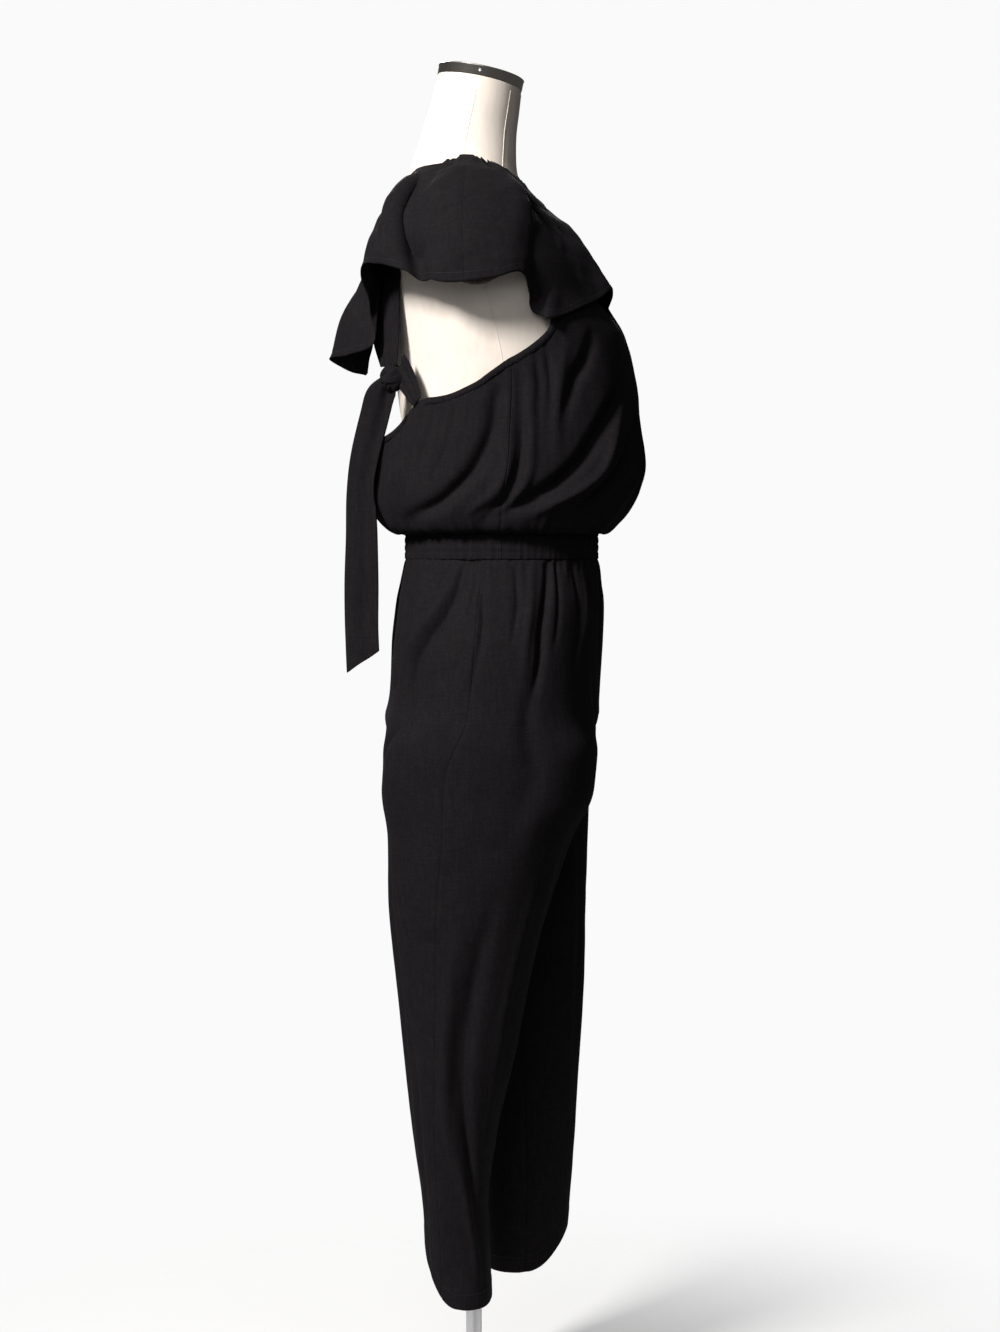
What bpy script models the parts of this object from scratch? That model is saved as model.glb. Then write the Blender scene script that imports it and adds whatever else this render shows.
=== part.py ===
"""A one-shoulder crepe jumpsuit on a limbless dress form.

Metres, +Z up.  The wearer's front faces -Y and the wearer's right is -X.
The origin is the centre of the stand's underside, on the pole's axis.
"""
from collections import namedtuple
from math import asin, cos, pi, radians, sin

import bmesh
import bpy
from mathutils import Vector
from mathutils.bvhtree import BVHTree

MM = 0.001

# ---- driving dimensions -----------------------------------------------------
CLOTH = 1.5 * MM            # wall of every crepe piece
SEAM_GAP = 0.35 * MM        # between pieces that are sewn edge to edge
LAY_GAP = 0.4 * MM          # between a piece and what it lies on
BAND_LOW, BAND_HIGH = 1.0220, 1.0560   # elastic waistband
CROTCH_Z = 0.745            # height of the crotch point
CROTCH_BLEND = 0.098        # height over which the hips part into two legs
HEM_Z = 0.150               # lowest point of both hems
SIDE_SEAM = 200             # degrees round a leg from the inseam, by the front
BINDING = 7.0 * MM          # finished width of the armhole binding
STRAP_WIDTH = 46 * MM
STRAP_LIFT = 1.0 * MM       # strap above the form's shoulder
FLOUNCE_LIFT = 3.0 * MM     # how far the flounce stands off what it covers
TIE_WIDTH = 44 * MM

ARM_PLANE = 0.163           # the torso is cut off flat here, at both armholes
PLATE_HALF_DEPTH, PLATE_HALF_HEIGHT, PLATE_THICK = 0.043, 0.046, 0.006
PLATE_Y, PLATE_Z = -0.004, 1.374

TORSO_BOTTOM = 0.846
NECK_TILT = radians(11.0)   # the neck's cut leans down to the front
NECK_TOP_Z, NECK_TOP_Y, NECK_RADIUS = 1.580, -0.0075, 0.0500
RING_HEIGHT, RING_WALL = 0.0120, 0.0016
CAP_THICK = 0.004

POLE_RADIUS = 0.0095
COLLAR_RADIUS, COLLAR_HEIGHT = 0.022, 0.030
BASE_RADIUS, BASE_RIM, BASE_DOME = 0.170, 0.010, 0.026
FLANGE_RADIUS, FLANGE_HEIGHT = 0.034, 0.012

# ---- tables of sections -----------------------------------------------------
Section = namedtuple("Section", "z front back half_width squareness")

TORSO = (
    Section(0.846, -0.126, 0.085, 0.163, 2.2),
    Section(0.885, -0.132, 0.087, 0.166, 2.2),
    Section(0.930, -0.134, 0.084, 0.160, 2.2),
    Section(0.990, -0.137, 0.074, 0.140, 2.2),
    Section(1.045, -0.135, 0.067, 0.121, 2.2),
    Section(1.110, -0.141, 0.074, 0.127, 2.2),
    Section(1.180, -0.153, 0.084, 0.137, 2.2),
    Section(1.235, -0.162, 0.091, 0.145, 2.1),
    Section(1.280, -0.150, 0.096, 0.152, 2.2),
    Section(1.330, -0.128, 0.100, 0.163, 2.4),
    Section(1.370, -0.106, 0.100, 0.172, 2.6),
    Section(1.400, -0.087, 0.098, 0.168, 2.3),
    Section(1.425, -0.073, 0.094, 0.147, 1.9),
    Section(1.445, -0.062, 0.087, 0.118, 1.7),
    Section(1.462, -0.055, 0.081, 0.092, 1.75),
    Section(1.478, -0.0510, 0.0745, 0.071, 1.9),
    Section(1.495, -0.0500, 0.0690, 0.059, 2.0),
    Section(1.520, -0.0505, 0.0610, 0.0525, 2.0),
    Section(1.545, -0.0535, 0.0530, 0.0505, 2.0),
    Section(1.580, -0.0575, 0.0425, 0.0500, 2.0),
)

BODICE = (
    Section(1.0590, -0.1460, 0.0790, 0.1310, 2.2),
    Section(1.0530, -0.1560, 0.0900, 0.1400, 2.2),
    Section(1.0600, -0.1670, 0.1030, 0.1500, 2.2),
    Section(1.0800, -0.1840, 0.1180, 0.1590, 2.2),
    Section(1.1060, -0.1970, 0.1240, 0.1630, 2.2),
    Section(1.1350, -0.2030, 0.1210, 0.1630, 2.2),
    Section(1.1860, -0.1970, 0.1100, 0.1600, 2.2),
    Section(1.2270, -0.1935, 0.1040, 0.1570, 2.2),
    Section(1.2800, -0.1790, 0.1020, 0.1580, 2.2),
    Section(1.3200, -0.1485, 0.1040, 0.1660, 2.3),
    Section(1.3600, -0.1170, 0.1050, 0.1780, 2.7),
    Section(1.4000, -0.0920, 0.1040, 0.1760, 2.5),
    Section(1.4400, -0.0690, 0.0970, 0.1340, 1.8),
    Section(1.4700, -0.0570, 0.0860, 0.0900, 1.8),
)

HIPS = (
    Section(0.7450, -0.1430, 0.1040, 0.1770, 3.0),
    Section(0.8000, -0.1450, 0.1030, 0.1790, 2.7),
    Section(0.8540, -0.1480, 0.0980, 0.1760, 2.4),
    Section(0.9250, -0.1520, 0.0960, 0.1690, 2.2),
    Section(0.9730, -0.1530, 0.0900, 0.1540, 2.2),
    Section(1.0000, -0.1500, 0.0840, 0.1410, 2.2),
    Section(1.0216, -0.1460, 0.0790, 0.1310, 2.2),
)

LegSection = namedtuple("LegSection", "z inner outer front back squareness")

RIGHT_LEG = (
    LegSection(0.150, 0.0300, -0.1080, -0.0210, 0.0560, 2.9),
    LegSection(0.215, 0.0290, -0.1130, -0.0190, 0.0570, 2.8),
    LegSection(0.272, 0.0280, -0.1190, -0.0180, 0.0610, 2.6),
    LegSection(0.355, 0.0270, -0.1290, -0.0290, 0.0720, 2.5),
    LegSection(0.438, 0.0260, -0.1390, -0.0490, 0.0810, 2.4),
    LegSection(0.532, 0.0250, -0.1500, -0.0680, 0.0890, 2.3),
    LegSection(0.614, 0.0240, -0.1600, -0.0880, 0.0970, 2.3),
    LegSection(0.700, 0.0225, -0.1700, -0.1150, 0.0990, 2.3),
    LegSection(0.745, 0.0206, -0.1740, -0.1370, 0.1040, 2.4),
    LegSection(0.800, 0.0206, -0.1770, -0.1440, 0.1030, 2.5),
    LegSection(0.850, 0.0206, -0.1770, -0.1470, 0.0980, 2.5),
)

LEFT_LEG = (
    LegSection(0.150, 0.0390, 0.1600, -0.1110, -0.0140, 2.9),
    LegSection(0.216, 0.0380, 0.1600, -0.1160, -0.0100, 2.8),
    LegSection(0.272, 0.0370, 0.1600, -0.1210, -0.0060, 2.6),
    LegSection(0.354, 0.0350, 0.1610, -0.1270, 0.0040, 2.5),
    LegSection(0.478, 0.0310, 0.1660, -0.1340, 0.0280, 2.4),
    LegSection(0.602, 0.0270, 0.1720, -0.1370, 0.0550, 2.3),
    LegSection(0.700, 0.0250, 0.1760, -0.1400, 0.0800, 2.3),
    LegSection(0.745, 0.0232, 0.1780, -0.1420, 0.0920, 2.4),
    LegSection(0.800, 0.0232, 0.1790, -0.1450, 0.1000, 2.5),
    LegSection(0.850, 0.0232, 0.1770, -0.1470, 0.0980, 2.5),
)

EdgePoint = namedtuple("EdgePoint", "turn z")   # turn in degrees: 0 front, 90 wearer's right

FRONT_TOP = (
    EdgePoint(-90, 1.246), EdgePoint(-70, 1.264), EdgePoint(-50, 1.292), EdgePoint(-30, 1.330),
    EdgePoint(-10, 1.375), EdgePoint(5, 1.408), EdgePoint(12, 1.430), EdgePoint(20, 1.449),
    EdgePoint(24, 1.4560), EdgePoint(32, 1.4475), EdgePoint(42, 1.433), EdgePoint(48, 1.400),
    EdgePoint(54, 1.360), EdgePoint(60, 1.328),
    EdgePoint(66, 1.302), EdgePoint(70, 1.286), EdgePoint(75, 1.273), EdgePoint(82, 1.260),
    EdgePoint(90, 1.247),
)
BACK_TOP = (
    EdgePoint(90, 1.247), EdgePoint(96, 1.235), EdgePoint(102, 1.223), EdgePoint(108, 1.2148),
    EdgePoint(115, 1.2070), EdgePoint(121, 1.2042), EdgePoint(126, 1.2034), EdgePoint(130, 1.2020),
    EdgePoint(134, 1.197), EdgePoint(138, 1.186), EdgePoint(142, 1.175), EdgePoint(149, 1.166),
    EdgePoint(160, 1.161), EdgePoint(180, 1.161), EdgePoint(205, 1.170), EdgePoint(230, 1.190),
    EdgePoint(250, 1.214), EdgePoint(270, 1.246),
)

# The flounce, one row for each ridge or valley: its place on the seam, its place on
# the free edge, and how far the cloth between them swells outward.
Rib = namedtuple("Rib", "seam edge swell")

FLOUNCE_FRONT = (
    Rib((0.146, -0.060, 1.248), (0.163, -0.074, 1.206), 0.004),
    Rib((0.131, -0.098, 1.264), (0.150, -0.120, 1.204), 0.006),
    Rib((0.112, -0.124, 1.283), (0.120, -0.156, 1.218), 0.003),
    Rib((0.086, -0.138, 1.306), (0.098, -0.188, 1.226), 0.004),
    Rib((0.062, -0.138, 1.330), (0.064, -0.180, 1.250), 0.002),
    Rib((0.036, -0.127, 1.356), (0.042, -0.184, 1.272), 0.002),
    Rib((0.012, -0.111, 1.384), (0.006, -0.158, 1.304), 0.002),
    Rib((-0.012, -0.094, 1.408), (-0.050, -0.158, 1.330), 0.004),
    Rib((-0.030, -0.077, 1.431), (-0.102, -0.137, 1.314), 0.014),
    Rib((-0.042, -0.064, 1.449), (-0.154, -0.092, 1.291), 0.026),
    Rib((-0.050, -0.053, 1.461), (-0.163, -0.078, 1.297), 0.026),
    Rib((-0.054, -0.046, 1.466), (-0.172, -0.065, 1.320), 0.026),
    Rib((-0.058, -0.036, 1.473), (-0.188, -0.054, 1.347), 0.028),
    Rib((-0.063, -0.018, 1.481), (-0.203, -0.026, 1.342), 0.034),
    Rib((-0.067, 0.004, 1.486), (-0.207, 0.008, 1.334), 0.036),
)
FLOUNCE_BACK = (
    Rib((-0.067, 0.004, 1.486), (-0.207, 0.008, 1.334), 0.036),
    Rib((-0.067, 0.022, 1.484), (-0.203, 0.030, 1.340), 0.033),
    Rib((-0.066, 0.038, 1.480), (-0.192, 0.050, 1.346), 0.020),
    Rib((-0.064, 0.053, 1.474), (-0.182, 0.078, 1.353), 0.020),
    Rib((-0.061, 0.067, 1.464), (-0.158, 0.104, 1.357), 0.010),
    Rib((-0.058, 0.078, 1.452), (-0.128, 0.122, 1.348), 0.006),
    Rib((-0.056, 0.087, 1.438), (-0.098, 0.112, 1.306), 0.002),
    Rib((-0.056, 0.094, 1.419), (-0.090, 0.112, 1.268), 0.004),
    Rib((-0.056, 0.101, 1.395), (-0.072, 0.142, 1.256), 0.008),
    Rib((-0.056, 0.105, 1.366), (-0.046, 0.164, 1.254), 0.010),
    Rib((-0.056, 0.108, 1.340), (-0.016, 0.150, 1.244), 0.006),
    Rib((-0.058, 0.110, 1.312), (0.004, 0.132, 1.238), 0.003),
    Rib((-0.062, 0.112, 1.288), (-0.012, 0.124, 1.240), 0.001),
)

StripPoint = namedtuple("StripPoint", "middle across width")

STRAP = (
    StripPoint((-0.0715, -0.0500, 1.4525), (-1.0, -0.20, -0.45), 44 * MM),
    StripPoint((-0.080, -0.030, 1.4620), (-1.0, -0.20, -0.45), STRAP_WIDTH),
    StripPoint((-0.087, 0.006, 1.4680), (-1.0, 0.00, -0.45), STRAP_WIDTH),
    StripPoint((-0.085, 0.046, 1.4580), (-1.0, 0.20, -0.35), STRAP_WIDTH),
    StripPoint((-0.085, 0.080, 1.4200), (-1.0, -0.20, -0.25), STRAP_WIDTH),
    StripPoint((-0.089, 0.094, 1.3700), (-1.0, -0.45, -0.10), STRAP_WIDTH),
    StripPoint((-0.082, 0.0965, 1.3200), (-1.0, -0.50, 0.00), 40 * MM),
    StripPoint((-0.079, 0.0975, 1.2800), (-1.0, -0.60, 0.00), 32 * MM),
    StripPoint((-0.088, 0.0985, 1.2428), (-1.0, -0.70, 0.00), 20 * MM),
)
TIE = (
    StripPoint((-0.086, 0.1010, 1.2145), (0.40, 1.0, 0.00), 26 * MM),
    StripPoint((-0.079, 0.1130, 1.1900), (0.45, 1.0, 0.05), 42 * MM),
    StripPoint((-0.069, 0.1230, 1.1450), (0.50, 0.9, 0.02), 44 * MM),
    StripPoint((-0.062, 0.1290, 1.1000), (0.55, 0.8, 0.02), TIE_WIDTH),
    StripPoint((-0.058, 0.1290, 1.0500), (0.45, 0.9, 0.00), TIE_WIDTH),
    StripPoint((-0.056, 0.1300, 0.9950), (0.35, 1.0, 0.00), TIE_WIDTH),
    StripPoint((-0.056, 0.1300, 0.9450), (0.35, 1.0, 0.00), 42 * MM),
    StripPoint((-0.058, 0.1280, 0.9150), (0.30, 1.0, 0.00), 40 * MM),
)
TIE_POINT = 0.026           # how much lower the back corner of the tie's cut end is
CORNER_TAB = (
    StripPoint((-0.1230, 0.0640, 1.1990), (0.45, 0.50, -0.77), 15 * MM),
    StripPoint((-0.1110, 0.0740, 1.2130), (0.42, 0.48, -0.77), 18 * MM),
    StripPoint((-0.0992, 0.0850, 1.2272), (0.42, 0.40, -0.77), 18 * MM),
)
KNOT_CENTRE, KNOT_HALF = Vector((-0.0880, 0.0965, 1.2285)), Vector((0.0110, 0.0130, 0.0150))


# ---- curves and surfaces ----------------------------------------------------
def through(rows, key, at, field):
    """Value of a column at a place, on a smooth curve through the table's rows."""
    last = len(rows) - 1
    low = 0
    while low < last - 1 and at > key(rows[low + 1]):
        low += 1
    near = [max(0, min(last, low + step)) for step in (-1, 0, 1, 2)]
    k = [key(rows[i]) for i in near]
    v = [field(rows[i]) for i in near]
    span = k[2] - k[1]
    start_slope = (v[2] - v[0]) / (k[2] - k[0])
    end_slope = (v[3] - v[1]) / (k[3] - k[1])
    t = (at - k[1]) / span
    return ((2 * t**3 - 3 * t**2 + 1) * v[1] + (t**3 - 2 * t**2 + t) * span * start_slope
            + (3 * t**2 - 2 * t**3) * v[2] + (t**3 - t**2) * span * end_slope)


def along(rows, place, field):
    """Value of a column at a fractional row number."""
    return through([(i, row) for i, row in enumerate(rows)], lambda r: r[0], place,
                   lambda r: field(r[1]))


def oval(turn, squareness):
    """Point of a unit superellipse: turn 0 is the front (-Y), 90 degrees the right (-X)."""
    s, c = sin(turn), cos(turn)
    power = 2 / squareness
    x = -abs(s) ** power * (1 if s > 0 else -1)
    y = -abs(c) ** power * (1 if c > 0 else -1)
    return x, y


def body_point(rows, turn, z):
    """A point of a one-loop section table, by turn (radians) and height."""
    front, back, half, square = (through(rows, lambda r: r.z, z, lambda r, f=f: getattr(r, f))
                                 for f in ("front", "back", "half_width", "squareness"))
    x, y = oval(turn, square)
    return Vector((x * half, (front + back) / 2 + y * (back - front) / 2, z))


def torso_point(turn, z):
    """The dress form's skin, cut off flat at the armholes."""
    point = body_point(TORSO, turn, z)
    point.x = max(-ARM_PLANE, min(ARM_PLANE, point.x))
    return point


def bodice_row_at(z):
    """Row number of the bodice table, above the roll, at a height."""
    row = 2
    while row < len(BODICE) - 2 and BODICE[row + 1].z < z:
        row += 1
    return row + (z - BODICE[row].z) / (BODICE[row + 1].z - BODICE[row].z)


def bodice_point(turn, row):
    """The bodice's mid-surface, by turn and fractional row number."""
    z, front, back, half, square = (along(BODICE, row, lambda r, f=f: getattr(r, f))
                                    for f in BODICE[0]._fields)
    x, y = oval(turn, square)
    return Vector((x * half, (front + back) / 2 + y * (back - front) / 2, z))


def leg_point(leg, turn, z):
    """A trouser leg's mid-surface.  turn 0 is the inseam, 90 degrees the front, 180 the
    side seam and 270 the back; above the crotch the loop opens into half of the hips."""
    inner, outer, front, back, square = (through(leg, lambda r: r.z, z, lambda r, f=f: getattr(r, f))
                                         for f in leg[0]._fields[1:])
    depth, side = oval(turn, square)
    loop = Vector(((inner + outer) / 2 - side * (inner - outer) / 2,
                   (front + back) / 2 + depth * (back - front) / 2, z))
    rise = max(0.0, min(1.0, (z - CROTCH_Z) / CROTCH_BLEND))
    part = rise * rise * (3 - 2 * rise)
    if part <= 0:
        return loop
    # a hip point straight above the loop's own, gliding to even spacing round the hips
    across = (1 + side) / 2
    above = asin(min(1.0, across ** 1.25))
    above = above if turn < pi else pi - above
    hip_turn = above + (turn / 2 - above) * part
    hand = 1 if leg is RIGHT_LEG else -1
    return loop.lerp(body_point(HIPS, hand * hip_turn, z), part)


# ---- building ---------------------------------------------------------------
def new_material(name, colour, roughness, metallic=0.0):
    material = bpy.data.materials.new(name)
    material.use_nodes = True
    shader = material.node_tree.nodes["Principled BSDF"]
    shader.inputs["Base Color"].default_value = (*colour, 1)
    shader.inputs["Roughness"].default_value = roughness
    shader.inputs["Metallic"].default_value = metallic
    return material


def new_object(name, bm, finish):
    bmesh.ops.recalc_face_normals(bm, faces=bm.faces)
    mesh = bpy.data.meshes.new(name)
    bm.to_mesh(mesh)
    bm.free()
    mesh.materials.append(new_material(name, *finish))
    mesh.shade_smooth()
    mesh.set_sharp_from_angle(angle=radians(40))
    obj = bpy.data.objects.new(name, mesh)
    bpy.context.collection.objects.link(obj)
    return obj


def grid_normals(grid):
    """Unit normals of a grid of points, from its own neighbours."""
    rows, cols = len(grid), len(grid[0])
    normals = []
    for r in range(rows):
        line = []
        for c in range(cols):
            up = grid[min(r + 1, rows - 1)][c] - grid[max(r - 1, 0)][c]
            across = grid[r][min(c + 1, cols - 1)] - grid[r][max(c - 1, 0)]
            line.append(across.cross(up).normalized())
        normals.append(line)
    return normals


def wall(name, grid, normals, thickness, finish, mid=True):
    """A closed wall about (or outward from) a grid of points, with square edges."""
    rows, cols = len(grid), len(grid[0])
    out, back = (thickness / 2, -thickness / 2) if mid else (thickness, 0.0)
    bm = bmesh.new()
    skins = []
    for shift in (out, back):
        skins.append([[bm.verts.new(grid[r][c] + normals[r][c] * shift) for c in range(cols)]
                      for r in range(rows)])
    outer, inner = skins
    for r in range(rows - 1):
        for c in range(cols - 1):
            bm.faces.new((outer[r][c], outer[r][c + 1], outer[r + 1][c + 1], outer[r + 1][c]))
            bm.faces.new((inner[r][c], inner[r + 1][c], inner[r + 1][c + 1], inner[r][c + 1]))
    rim = ([(0, c) for c in range(cols)] + [(r, cols - 1) for r in range(1, rows)]
           + [(rows - 1, c) for c in range(cols - 2, -1, -1)] + [(r, 0) for r in range(rows - 2, 0, -1)])
    for (r0, c0), (r1, c1) in zip(rim, rim[1:] + rim[:1]):
        bm.faces.new((outer[r0][c0], inner[r0][c0], inner[r1][c1], outer[r1][c1]))
    bmesh.ops.triangulate(bm, faces=bm.faces)
    return new_object(name, bm, finish)


def stack(name, loops, finish):
    """A closed solid through closed loops of equal length."""
    bm = bmesh.new()
    rings = [[bm.verts.new(point) for point in loop] for loop in loops]
    for low, high in zip(rings, rings[1:]):
        for i in range(len(low)):
            j = (i + 1) % len(low)
            bm.faces.new((low[i], low[j], high[j], high[i]))
    bm.faces.new(rings[0])
    bm.faces.new(rings[-1])
    return new_object(name, bm, finish)


def turned(name, profile, finish, sides=32):
    """A solid of revolution about Z, from (radius, z) pairs that start and end on the axis."""
    loops = [[Vector((r * cos(2 * pi * i / sides), r * sin(2 * pi * i / sides), z))
              for i in range(sides)] for r, z in profile]
    return stack(name, loops, finish)


def surface_panel(name, surface, turns, rows_of, finish, thickness=CLOTH, lift=0.0):
    """A wall on surface(turn, row); rows_of(turn) gives each column's row numbers."""
    step_turn, step_row = 0.01, 0.01
    columns = [rows_of(turn) for turn in turns]
    grid, normals = [], []
    for r in range(len(columns[0])):
        points, lines = [], []
        for turn, column in zip(turns, columns):
            row = column[r]
            across = surface(turn + step_turn, row) - surface(turn - step_turn, row)
            up = surface(turn, row + step_row) - surface(turn, row - step_row)
            normal = up.cross(across).normalized()
            points.append(surface(turn, row) + normal * lift)
            lines.append(normal)
        grid.append(points)
        normals.append(lines)
    return wall(name, grid, normals, thickness, finish)


def spread(low, high, count):
    return [low + (high - low) * i / (count - 1) for i in range(count)]


LINEN = ((0.80, 0.73, 0.66), 0.85)
NICKEL = ((0.55, 0.50, 0.45), 0.30, 1.0)
WOOD = ((0.10, 0.065, 0.045), 0.45)
STEEL = ((0.62, 0.62, 0.63), 0.28, 1.0)
IRON = ((0.70, 0.69, 0.68), 0.45, 0.6)
CREPE = ((0.012, 0.012, 0.014), 0.90)


# ---- dress form -------------------------------------------------------------
def torso():
    heights = (0.846, 0.849, 0.866, 0.885, 0.908, 0.930, 0.960, 0.990, 1.018, 1.045, 1.078, 1.110,
               1.145, 1.180, 1.208, 1.235, 1.258, 1.280, 1.305, 1.330, 1.350, 1.370, 1.386, 1.400,
               1.413, 1.425, 1.436, 1.445, 1.454, 1.462, 1.470, 1.478, 1.486, 1.495, 1.508, 1.520,
               1.545)
    sides = 36
    loops = []
    for z in heights:
        inset = 0.97 if z == heights[0] else 1.0
        loop = [torso_point(2 * pi * i / sides, z) for i in range(sides)]
        centre = sum(loop, Vector()) / sides
        loops.append([centre + (p - centre) * inset for p in loop])
    loops.append(neck_loop(0.0, NECK_RADIUS, sides))
    return stack("form_torso", loops, LINEN)


def neck_loop(height, radius, sides):
    """A circle on the neck's tilted cut, a height above it, starting at the front."""
    up = Vector((0, -sin(NECK_TILT), cos(NECK_TILT)))
    front = Vector((0, -cos(NECK_TILT), -sin(NECK_TILT)))
    right = Vector((-1, 0, 0))
    centre = Vector((0, NECK_TOP_Y, NECK_TOP_Z)) + up * height
    return [centre + front * radius * cos(2 * pi * i / sides) + right * radius * sin(2 * pi * i / sides)
            for i in range(sides)]


def neck_trim():
    sides = 36
    base = 0.0004
    outside, inside = NECK_RADIUS + 0.0006, NECK_RADIUS + 0.0006 - RING_WALL
    top = base + RING_HEIGHT
    bm = bmesh.new()
    rings = [[bm.verts.new(p) for p in neck_loop(h, r, sides)]
             for h, r in ((base, outside), (top, outside), (top, inside), (base, inside))]
    for a, b in zip(rings, rings[1:] + rings[:1]):
        for i in range(sides):
            j = (i + 1) % sides
            bm.faces.new((a[i], a[j], b[j], b[i]))
    new_object("neck_band", bm, NICKEL)
    fit = inside - 0.0004
    crown = top - 0.0010
    stack("neck_cap", [neck_loop(h, r, sides) for h, r in
                       ((crown - CAP_THICK, fit), (crown - 0.001, fit), (crown, fit - 0.004))], NICKEL)


def arm_plate(name, hand):
    sides = 32
    loops = []
    for out, inset in ((0.0004, 0.0), (PLATE_THICK - 0.002, 0.0), (PLATE_THICK, 0.003)):
        x = hand * (ARM_PLANE + out)
        loops.append([Vector((x, PLATE_Y + (PLATE_HALF_DEPTH - inset) * cos(2 * pi * i / sides),
                              PLATE_Z + (PLATE_HALF_HEIGHT - inset) * sin(2 * pi * i / sides)))
                      for i in range(sides)])
    return stack(name, loops, WOOD)


def stand():
    turned("base", ((BASE_RADIUS - 0.004, 0.0), (BASE_RADIUS, 0.003), (BASE_RADIUS, BASE_RIM - 0.003),
                    (BASE_RADIUS - 0.004, BASE_RIM), (0.110, 0.016), (0.050, BASE_DOME),
                    (0.020, BASE_DOME)), IRON, 36)
    foot = BASE_DOME + LAY_GAP
    turned("pole_flange", ((FLANGE_RADIUS, foot), (FLANGE_RADIUS, foot + 0.004),
                           (FLANGE_RADIUS - 0.010, foot + FLANGE_HEIGHT)), STEEL, 32)
    low = foot + FLANGE_HEIGHT + LAY_GAP
    high = TORSO_BOTTOM - COLLAR_HEIGHT - 2 * LAY_GAP
    turned("pole", ((POLE_RADIUS, low), (POLE_RADIUS, high)), STEEL, 20)
    turned("pole_collar", ((COLLAR_RADIUS - 0.003, high + LAY_GAP),
                           (COLLAR_RADIUS, high + LAY_GAP + 0.003),
                           (COLLAR_RADIUS, TORSO_BOTTOM - LAY_GAP)), WOOD, 24)


# ---- garment ----------------------------------------------------------------
def edge_height(edge, turn_degrees):
    return through(edge, lambda p: p.turn, turn_degrees, lambda p: p.z)


def bodice_panel(name, edge, degrees, levels):
    inset = SEAM_GAP / 2 / 0.150

    turns = [radians(d) for d in degrees]
    turns[0] += inset
    turns[-1] -= inset

    def rows_of(turn):
        top = bodice_row_at(edge_height(edge, turn * 180 / pi))
        return [top * level for level in levels]

    return surface_panel(name, bodice_point, turns, rows_of, CREPE)


def bodice():
    levels = (0.0, 0.10, 0.20, 0.31, 0.42, 0.53, 0.64, 0.76, 0.88, 1.0)
    front = (-90, -78, -66, -54, -42, -30, -18, -6, 5, 13, 20, 24, 32, 40, 46, 51, 56, 61, 66, 72, 80, 90)
    back = (90, 98, 106, 114, 121, 127, 132, 137, 143, 151, 162, 174, 188, 202, 216, 230, 243, 256, 270)
    bodice_panel("bodice_front", FRONT_TOP, front, levels)
    return bodice_panel("bodice_back", BACK_TOP, back, levels)


def binding(name, edges, degrees):
    """A narrow folded strip that covers a bodice edge on its outside."""
    def rows_of(turn):
        turn_degrees = turn * 180 / pi
        edge = edges[0] if turn_degrees < edges[1][0].turn or len(edges) == 1 else edges[-1]
        top = edge_height(edge, turn_degrees)
        return [bodice_row_at(top - BINDING), bodice_row_at(top - BINDING / 2), bodice_row_at(top)]

    lift = CLOTH / 2 + 2 * LAY_GAP + CLOTH * 0.4
    return surface_panel(name, bodice_point, [radians(d) for d in degrees], rows_of, CREPE,
                         CLOTH * 0.8, lift)


def waistband():
    middle = Section(0, HIPS[-1].front, HIPS[-1].back, HIPS[-1].half_width, HIPS[-1].squareness)

    def surface(turn, z):
        x, y = oval(turn, middle.squareness)
        return Vector((x * middle.half_width,
                       (middle.front + middle.back) / 2 + y * (middle.back - middle.front) / 2, z))

    inset = SEAM_GAP / 2 / 0.130
    for name, low, high in (("waistband_front", -90, 90), ("waistband_back", 90, 270)):
        turns = spread(radians(low) + inset, radians(high) - inset, 19)
        surface_panel(name, surface, turns, lambda turn: spread(BAND_LOW, BAND_HIGH, 3), CREPE, 2 * CLOTH)


def hem_height(leg, turn):
    """The right hem rises to the back and the left hem to the front, each in a curve."""
    depth = -sin(turn)          # -1 at the front, +1 at the back
    if leg is RIGHT_LEG:
        return HEM_Z + 0.070 * max(0.0, (depth + 0.12) / 1.12) ** 1.8
    return HEM_Z + 0.050 * max(0.0, (-depth + 0.10) / 1.10) ** 1.6


def trousers():
    levels = (0.0, 0.07, 0.14, 0.23, 0.32, 0.41, 0.50, 0.58, 0.645, 0.69, 0.735, 0.78, 0.825, 0.875,
              0.92, 0.955, 0.98, 1.0)
    inset = radians(0.30)
    for leg, side in ((RIGHT_LEG, "right"), (LEFT_LEG, "left")):
        for half, low, high in (("front", 0, SIDE_SEAM), ("back", SIDE_SEAM, 360)):
            turns = spread(radians(low) + inset, radians(high) - inset, 11)

            def rows_of(turn, leg=leg):
                low_z = hem_height(leg, turn)
                return [low_z + (HIPS[-1].z - low_z) * level for level in levels]

            def surface(turn, z, leg=leg):
                return leg_point(leg, turn, z)

            surface_panel("trouser_%s_%s" % (side, half), surface, turns, rows_of, CREPE)


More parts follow.
